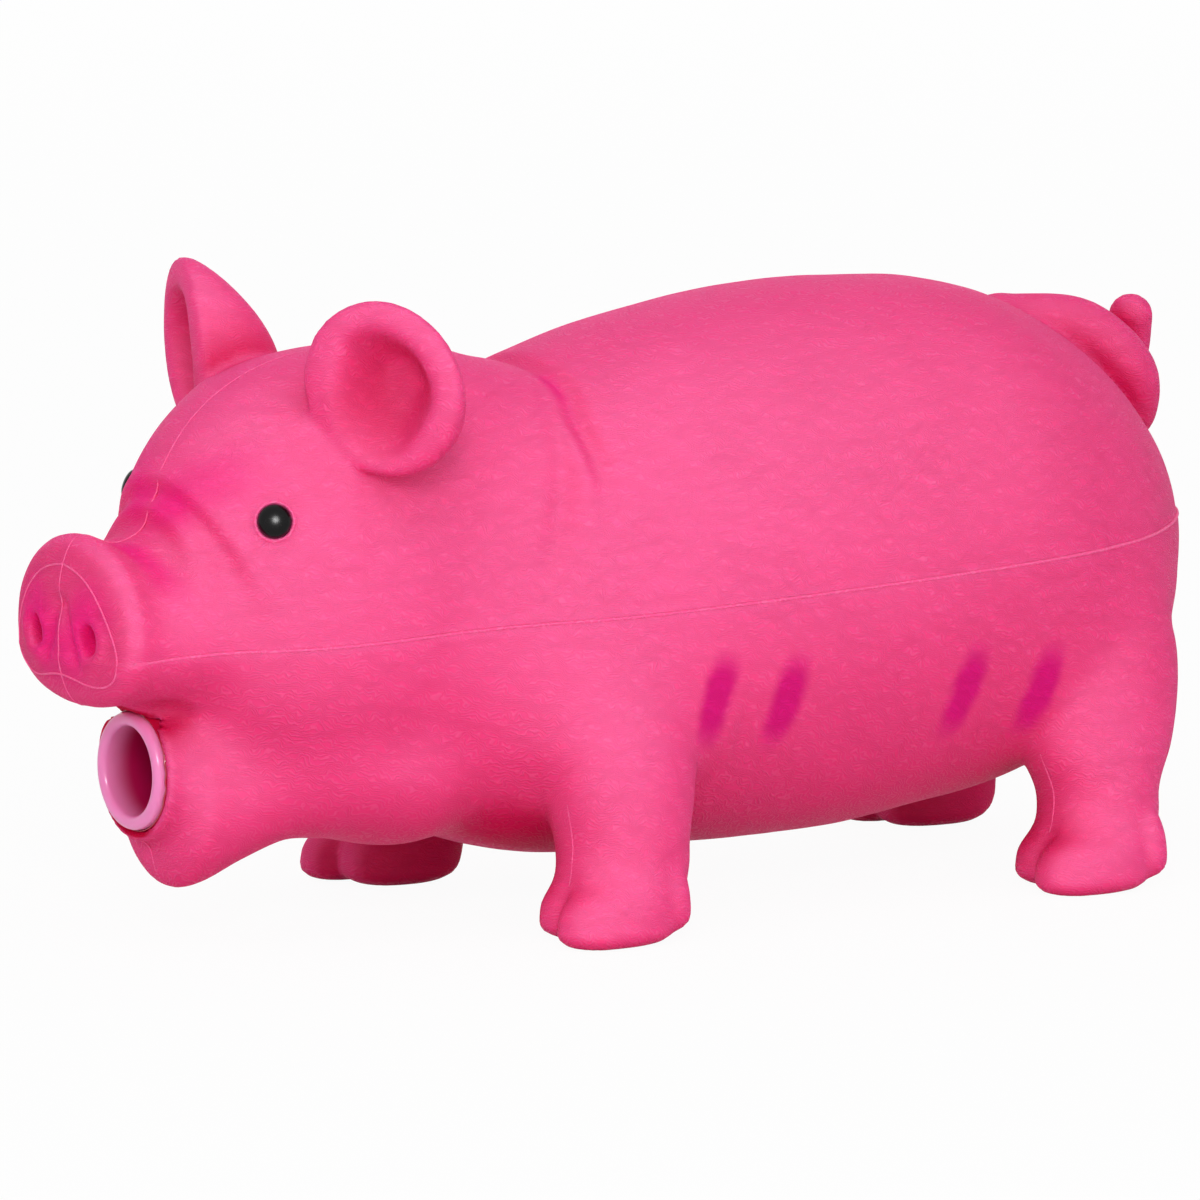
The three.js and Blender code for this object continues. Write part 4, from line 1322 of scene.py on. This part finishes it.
def lathe(name, profile, sides, height=0, loop=True):
    """Mesh turned round an axis along X, from pairs of place and radius in a loop or end to end."""
    points, faces = [], []
    for j in range(sides):
        turn = 2 * math.pi * j / sides
        points += [(x, r * math.sin(turn), height + r * math.cos(turn)) for x, r in profile]
    count = len(profile)
    for j in range(sides):
        k = (j + 1) % sides
        for i in range(count if loop else count - 1):
            n = (i + 1) % count
            faces.append((j * count + i, j * count + n, k * count + n, k * count + i))
    made = bpy.data.meshes.new(name)
    made.from_pydata(points, [], faces)
    bm = bmesh.new()
    bm.from_mesh(made)
    bmesh.ops.remove_doubles(bm, verts=bm.verts, dist=1e-7)
    bmesh.ops.recalc_face_normals(bm, faces=bm.faces)
    bm.to_mesh(made)
    bm.free()
    return made


# Steps that build the toy
class PigOperator:
    """What every step shares."""

    bl_options = {"REGISTER"}
    made = {}

    @property
    def sizes(self):
        """Sizes of the latex skin."""
        return bpy.context.scene.pig_sizes

    @property
    def grunter(self):
        """Sizes of the tube and the eyes."""
        return bpy.context.scene.pig_grunter

    @property
    def colours(self):
        """Colours of the toy."""
        return bpy.context.scene.pig_colours


class PIG_OT_skin(PigOperator, bpy.types.Operator):
    """Build the latex skin in one piece"""

    bl_idname = "pig.skin"
    bl_label = "Latex Skin"

    def execute(self, context):
        s = self.sizes
        p = places(s)
        field = skin_field(s, p)
        mesh = field.mesh("pig_skin")
        refine(mesh, lambda q: self.fine(p, q))
        points = vertices(mesh)
        for _ in range(2):
            normals = field.normals(points)
            points = points - normals * field.at(points)[:, None]
        points = points + field.normals(points) * relief(s, p, field, points)[:, None]
        points[:, 2] = np.maximum(points[:, 2], 0)
        move(mesh, points)
        skin = piece("pig_skin", mesh, latex_material(p, self.colours), "latex", *SKIN_NODES)
        PigOperator.made.update(places=p, field=field, skin=skin)
        return {"FINISHED"}

    def fine(self, p, point):
        """Whether the skin needs a finer mesh: on the snout and round the eyes."""
        nearest = min((point - Vector(eye)).length for eye in p.eyes.values())
        return point.x < p.face - 4 * MM or nearest < 7 * MM


class PIG_OT_mould_lines(PigOperator, bpy.types.Operator):
    """Lay the raised mould lines on the skin"""

    bl_idname = "pig.mould_lines"
    bl_label = "Mould Lines"

    def execute(self, context):
        s, p, field = self.sizes, self.made["places"], self.made["field"]
        skin = self.made["skin"]
        tree = BVHTree.FromObject(skin, context.evaluated_depsgraph_get())
        latex = flash_material(self.colours)
        self.flank(s, p, field, skin, latex)
        self.face(s, p, field, skin, latex)
        self.snout(s, p, field, tree, latex)
        self.legs(s, p, field, tree, latex)
        return {"FINISHED"}

    def line(self, field, path):
        """Even points along a path on the skin, and the directions out of it."""
        path = spaced(eased(path), LINE_STEP)
        return path, field.normals(path)

    def flank(self, s, p, field, skin, latex):
        """Line round the flanks, in the plane where the halves of the mould meet."""
        low = Vector((p.snout_front, 0, s.seam_front))
        high = Vector((p.torso_back, 0, s.seam_back))
        normal = (high - low).cross(Vector((0, 1, 0)))
        loop = section_line(skin, low, normal)
        start = int(np.argmin(loop[:, 0]))
        loop = np.roll(loop, -start, axis=0)
        loop = loop[loop[:, 0] > p.snout_front + 3.5 * MM]
        made = strips("flank_line", [self.line(field, loop)], s.seam_width, s.seam_proud)
        piece("flank_line", made, latex, "latex")

    def face(self, s, p, field, skin, latex):
        """Line from the crown down the forehead and over the snout."""
        loop = section_line(skin, Vector((0, 0, 0)), Vector((0, 1, 0)))
        start = int(np.argmax(loop[:, 0]))
        loop = np.roll(loop, -start, axis=0)
        if loop[len(loop) // 8, 2] < loop[0, 2]:
            loop = loop[::-1]
        crown = int(np.argmax((loop[:, 0] < p.face + 34 * MM) & (loop[:, 2] > s.snout_middle)))
        loop = loop[crown:]
        under = int(np.argmax((loop[:, 2] < s.snout_middle) & (loop[:, 0] > p.face - 6 * MM)))
        line = self.line(field, loop[:under])
        made = strips("face_line", [line], s.seam_width * 0.5, s.seam_proud * 0.5)
        piece("face_line", made, latex, "latex")

    def snout(self, s, p, field, tree, latex):
        """Lobed line round the snout's disc, from pairs of side place and height in millimetres."""
        lobes = (
            (0, 65.2),
            (-5, 64.6),
            (-9.5, 62),
            (-13, 57.6),
            (-15.6, 52.4),
            (-15.8, 48.6),
            (-12.8, 45.8),
            (-8.4, 45.4),
            (-4, 46.6),
            (0, 47.4),
        )
        before = p.snout_front - 20 * MM
        half = [Vector((before, y * MM, z * MM)) for y, z in lobes]
        other = [Vector((q.x, -q.y, q.z)) for q in half[::-1]]
        around = spaced(eased(spaced(np.array(half + other[1:]), 1.2 * MM), 10), FINE_LINE_STEP)
        path, outward = on_skin(tree, field, around, (1, 0, 0))
        made = strips("snout_line", [(path, outward)], s.seam_width * 0.65, s.seam_proud * 0.6)
        piece("snout_line", made, latex, "latex")

    def legs(self, s, p, field, tree, latex):
        """Lines down the front of each leg and of the chin."""
        lines = []
        for x, share in ((p.front_leg, 0), (p.hind_leg, s.hind_stagger / 2)):
            for side in (-1, 1):
                ahead = x + side * share - s.thigh_length
                y = side * s.foot_track * 0.485
                heights = np.linspace(0.19, 0.46, 30) * s.leg_top
                origins = [(ahead, y, z) for z in heights]
                lines.append(on_skin(tree, field, origins, (1, 0, 0)))
        heights = np.linspace(1.15, 1.9, 20) * s.chin_clearance
        origins = [(p.snout_front - 20 * MM, 0, z) for z in heights]
        lines.append(on_skin(tree, field, origins, (1, 0, 0)))
        made = strips("leg_and_chin_lines", lines, s.seam_width * 0.5, s.seam_proud * 0.5)
        piece("leg_and_chin_lines", made, latex, "latex")


class PIG_OT_eyes(PigOperator, bpy.types.Operator):
    """Set the two black beads in the face"""

    bl_idname = "pig.eyes"
    bl_label = "Eyes"

    def execute(self, context):
        g, c = self.grunter, self.colours
        black = plastic_material("eye_black", c.eye, 0.19, 400.0, depth=0.004, Specular_IOR_Level=0.2)
        latex = flash_material(c)
        for side, name, sunk in ((-1, "eye_left", 0.4), (1, "eye_right", 1.2)):
            middle = self.made["places"].eyes[side]
            outward = Vector(self.made["field"].normals(middle[None])[0])
            turn = outward.to_track_quat("X", "Z").to_matrix().to_4x4()
            place = Matrix.Translation(Vector(middle) - outward * sunk * MM) @ turn
            bead, rim = self.bead(g, name + "_bead"), self.rim(g, name + "_rim")
            bead.transform(place)
            rim.transform(place)
            piece(name + "_bead", bead, black, "eye", name)
            piece(name + "_rim", rim, latex, "latex")
        return {"FINISHED"}

    def rim(self, g, name):
        """Raised ring of latex that holds a bead."""
        turns = np.linspace(0, 2 * math.pi, 14, endpoint=False)
        radius = g.eye_width / 2 + 0.36 * MM
        ring = [(0.5 * MM * math.cos(t), radius + 0.34 * MM * math.sin(t)) for t in turns]
        return lathe(name, ring, sides=64)

    def bead(self, g, name):
        """Domed bead facing X, with a small flange and a flat back."""
        radius, deep = g.eye_width / 2, g.eye_depth / 2
        turns = np.linspace(0, math.pi / 2, 26)
        dome = [(deep * math.sqrt(abs(math.cos(t))), radius * math.sin(t)) for t in turns]
        flange = ((-0.25, 1.02), (-0.45, 0.98), (-0.8, 0.6), (-0.9, 0))
        back = [(deep * x, radius * r) for x, r in flange]
        return lathe(name, dome + back, sides=56, loop=False)


class PIG_OT_grunter(PigOperator, bpy.types.Operator):
    """Build the tube, its glue and the finishes of the reed and its holder"""

    bl_idname = "pig.grunter"
    bl_label = "Grunter"

    def execute(self, context):
        g, c, p = self.grunter, self.colours, self.made["places"]
        self.tube(g, c, p)
        self.glue(g, c, p)
        # painted shade: holder, wedge and guard take the dark wine that stands in for the shade in the
        # tube
        holder = plastic_material("holder_plastic", c.holder, 0.4, 220.0, depth=0.03)
        film = plastic_material("reed_film", c.reed, 0.22, 320.0, depth=0.01, Transmission_Weight=0.35)
        looks = {"reed_holder": holder, "reed_wedge": holder, "stuffing_guard": holder, "reed": film}
        for node, look in looks.items():
            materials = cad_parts[node].data.materials
            materials.clear()
            materials.append(look)
        return {"FINISHED"}

    def tube(self, g, c, p):
        """Tube with a rounded rim in the mouth."""
        outer, bore = g.tube_outer / 2, g.tube_bore / 2
        wall = outer - bore
        middle = (outer + bore) / 2
        rim = [
            (p.tube_front + wall / 2 * (1 - math.sin(t)), middle - wall / 2 * math.cos(t))
            for t in np.linspace(0, math.pi, 17)
        ]
        run = np.linspace(rim[-1][0], p.tube_back - 0.5 * MM, 14)[1:]
        profile = rim + [(x, outer) for x in run]
        profile += [(p.tube_back, outer - 0.5 * MM), (p.tube_back, bore + 0.4 * MM)]
        profile += [(x, bore) for x in run[::-1]]
        mesh = lathe("mouth_tube", profile, sides=96, height=p.tube_height)
        piece("mouth_tube", mesh, tube_material(g, p, c), "tube", "grunter_tube")

    def glue(self, g, c, p):
        """Bead of glue round the tube, swollen into drops at the lip."""
        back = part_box("glue_sleeve")[1].x
        inner, outer = g.tube_outer / 2 + 0.12 * MM, p.lip - 0.05 * MM
        behind_lip = p.seat - 0.1 * MM
        front = p.lip_front + 0.5 * MM
        profile = [
            (front, inner),
            (front - 0.2 * MM, (inner + outer) / 2),
            (front, outer),
            (p.face + LIP_DEPTH + 0.4 * MM, outer),
            (p.face + LIP_DEPTH + 0.6 * MM, behind_lip),
            (back, behind_lip),
            (back, inner),
        ]
        mesh = lathe("glue_bead", profile, sides=160, height=p.tube_height)
        points = vertices(mesh)
        closeness, least, drop_length = 420, 0.1, 0.6 * MM
        drops = np.array([noise.noise(Vector(q) * closeness) for q in points])
        swollen = np.where(points[:, 0] < front + MM, np.clip(drops - least, 0, 1), 0)
        points[:, 0] -= swollen * drop_length
        move(mesh, points)
        clear = plastic_material(
            "dried_glue",
            c.cut_edge,
            0.12,
            500.0,
            tint=0.35,
            depth=0.05,
            Coat_Weight=0.8,
            Coat_Roughness=0.05,
        )
        piece("glue_bead", mesh, clear, "glue", "glue_sleeve")


class PIG_OT_stuffing(PigOperator, bpy.types.Operator):
    """Fill the skin with lumpy wadding"""

    bl_idname = "pig.stuffing"
    bl_label = "Stuffing"

    def execute(self, context):
        s, p = self.sizes, self.made["places"]
        low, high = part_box("stuffing")
        margin = Vector((6 * MM,) * 3)
        grid, skin_wall = 2.2 * MM, 4.4 * MM
        neck_fillet, tunnel_edge = 6 * MM, 2 * MM
        behind_tube, round_tube = 4 * MM, 1.6 * MM
        field = Field(low - margin, high + margin, grid)
        far = field.low + field.step * field.count
        field.add(torso_shape(s, p), field.low, far, TORSO_FILLET)
        field.add(head_shape(s, p), field.low, far, neck_fillet)
        field.values += skin_wall
        tunnel = rod_shape(p.snout_front, p.tube_back + behind_tube, p.tube_height, p.seat + round_tube)
        field.cut(tunnel, field.low, far, tunnel_edge)
        mesh = field.mesh("wadding")
        points = vertices(mesh)
        large, small, lump_height = 60, 150, 0.8 * MM
        lumps = [noise.noise(Vector(q) * large) + 0.5 * noise.noise(Vector(q) * small) for q in points]
        move(mesh, points + field.normals(points) * (np.array(lumps) * lump_height)[:, None])
        wadding = piece("wadding", mesh, wadding_material(self.colours), "wadding", "stuffing")
        return {"FINISHED"}


class PIG_OT_stage(PigOperator, bpy.types.Operator):
    """Set out the floor, the lamps and the camera"""

    bl_idname = "pig.stage"
    bl_label = "Floor, Light and Camera"

    def execute(self, context):
        stage = context.scene.pig_stage
        context.scene.view_settings.view_transform = "Standard"
        self.floor()
        self.room(context.scene, stage)
        before_face = (-0.9, -1.32, 0.76)
        self.lamp("key_lamp", before_face, 0.4, stage.key)
        self.lamp("catch_lamp", before_face, 0.3, stage.catch).visible_diffuse = False
        soft_lamps = (
            ("side_lamp", (0.1, -1.6, 0.6), stage.side),
            ("top_lamp", (-0.5, -0.4, 1.2), stage.top),
            ("fill_lamp", (-1.4, -0.9, 0.12), stage.fill),
            ("back_lamp", (0.9, 1.4, 0.5), stage.back),
        )
        for name, at, power in soft_lamps:
            self.lamp(name, at, 1.0, power, mirrored=False)
        self.camera(context.scene, stage)
        return {"FINISHED"}

    def looking(self, wires):
        """1 for rays that show the background: straight, mirrored or through something clear."""
        path = wires.add("ShaderNodeLightPath").outputs
        mirrored = wires.math("MAXIMUM", path["Is Glossy Ray"], path["Is Transmission Ray"])
        return wires.math("MAXIMUM", path["Is Camera Ray"], mirrored)

    def floor(self):
        """White floor that glows for the camera and still keeps the shadow."""
        mesh = bpy.data.meshes.new("floor")
        half = 6.0
        corners = [(-half, -half, 0), (half, -half, 0), (half, half, 0), (-half, half, 0)]
        mesh.from_pydata(corners, [], [(0, 1, 2, 3)])
        floor = bpy.data.objects.new("floor", mesh)
        bpy.context.scene.collection.objects.link(floor)
        white = bpy.data.materials.new("white_floor")
        white.use_nodes = True
        tree = white.node_tree
        wires = Wires(tree)
        tree.nodes.remove(tree.nodes["Principled BSDF"])
        paint_level, glow_share = 0.8, 0.95
        paint = wires.add("ShaderNodeBsdfDiffuse", {"Color": solid_colour((paint_level,) * 3)})
        glow = wires.add("ShaderNodeEmission", {"Color": (1, 1, 1, 1), "Strength": 1.0})
        seen = wires.math("MULTIPLY", self.looking(wires), glow_share)
        mix = wires.add("ShaderNodeMixShader", {0: seen, 1: paint.outputs[0], 2: glow.outputs[0]})
        tree.links.new(mix.outputs[0], tree.nodes["Material Output"].inputs["Surface"])
        mesh.materials.append(white)

    def room(self, scene, stage):
        """White room: full white where it is seen, softer where it only lights."""
        world = bpy.data.worlds.new("white_room")
        world.use_nodes = True
        scene.world = world
        wires = Wires(world.node_tree)
        strength = wires.span(self.looking(wires), 0.0, 1.0, stage.world, 1.0, smooth=False)
        world.node_tree.links.new(strength, world.node_tree.nodes["Background"].inputs["Strength"])
        world.node_tree.nodes["Background"].inputs["Color"].default_value = (1, 1, 1, 1)

    def lamp(self, name, at, size, power, mirrored=True):
        """Round lamp that looks at the pig."""
        light = bpy.data.lights.new(name, "AREA")
        light.shape = "DISK"
        light.size = size
        light.energy = power
        lamp = bpy.data.objects.new(name, light)
        bpy.context.scene.collection.objects.link(lamp)
        lamp.visible_glossy = mirrored
        lamp.location = at
        aim = Vector((0, 0, 50 * MM))
        lamp.rotation_euler = (aim - Vector(at)).to_track_quat("-Z", "Y").to_euler()
        return lamp

    def camera(self, scene, stage):
        """Long lens, aimed a little beside the middle of the pig."""
        middle_height, beside, below = 50 * MM, 3.94 * MM, 0.23 * MM
        a, e = math.radians(stage.azimuth), math.radians(stage.elevation)
        back = Vector((math.sin(a) * math.cos(e), -math.cos(a) * math.cos(e), math.sin(e)))
        right = Vector((math.cos(a), math.sin(a), 0))
        up = back.cross(right)
        aim = Vector((0, 0, middle_height)) - right * beside - up * below
        lens = bpy.data.cameras.new("camera")
        lens.lens = lens.sensor_width * stage.distance / stage.frame_width
        lens.clip_start, lens.clip_end = 0.05, 50
        camera = bpy.data.objects.new("camera", lens)
        scene.collection.objects.link(camera)
        camera.location = aim + back * stage.distance
        camera.rotation_euler = back.to_track_quat("Z", "Y").to_euler()
        scene.camera = camera


class VIEW3D_PT_pig(bpy.types.Panel):
    """Lists the steps and all values"""

    bl_label = "Grunting Pig"
    bl_space_type = "VIEW_3D"
    bl_region_type = "UI"
    bl_category = "Pig"

    def draw(self, context):
        for step in STEPS:
            self.layout.operator(step.bl_idname)
        for kind in GROUPS:
            values = getattr(context.scene, kind)
            box = self.layout.box()
            for name in values.__annotations__:
                box.prop(values, name)


STEPS = (PIG_OT_skin, PIG_OT_mould_lines, PIG_OT_eyes, PIG_OT_grunter, PIG_OT_stuffing, PIG_OT_stage)
GROUPS = {
    "pig_sizes": PigSizes,
    "pig_grunter": GrunterSizes,
    "pig_colours": PigColours,
    "pig_stage": PigStage,
}


def register():
    """Adds the steps, the panel and the values."""
    for kind in (*GROUPS.values(), *STEPS, VIEW3D_PT_pig):
        bpy.utils.register_class(kind)
    for name, kind in GROUPS.items():
        setattr(bpy.types.Scene, name, PointerProperty(type=kind))


def unregister():
    """Takes away what register adds."""
    for name in GROUPS:
        delattr(bpy.types.Scene, name)
    for kind in reversed((*GROUPS.values(), *STEPS, VIEW3D_PT_pig)):
        bpy.utils.unregister_class(kind)


def main():
    """Builds the toy step by step."""
    register()
    bpy.ops.pig.skin()
    bpy.ops.pig.mould_lines()
    bpy.ops.pig.eyes()
    bpy.ops.pig.grunter()
    bpy.ops.pig.stuffing()
    bpy.ops.pig.stage()


if __name__ == "__main__":
    main()
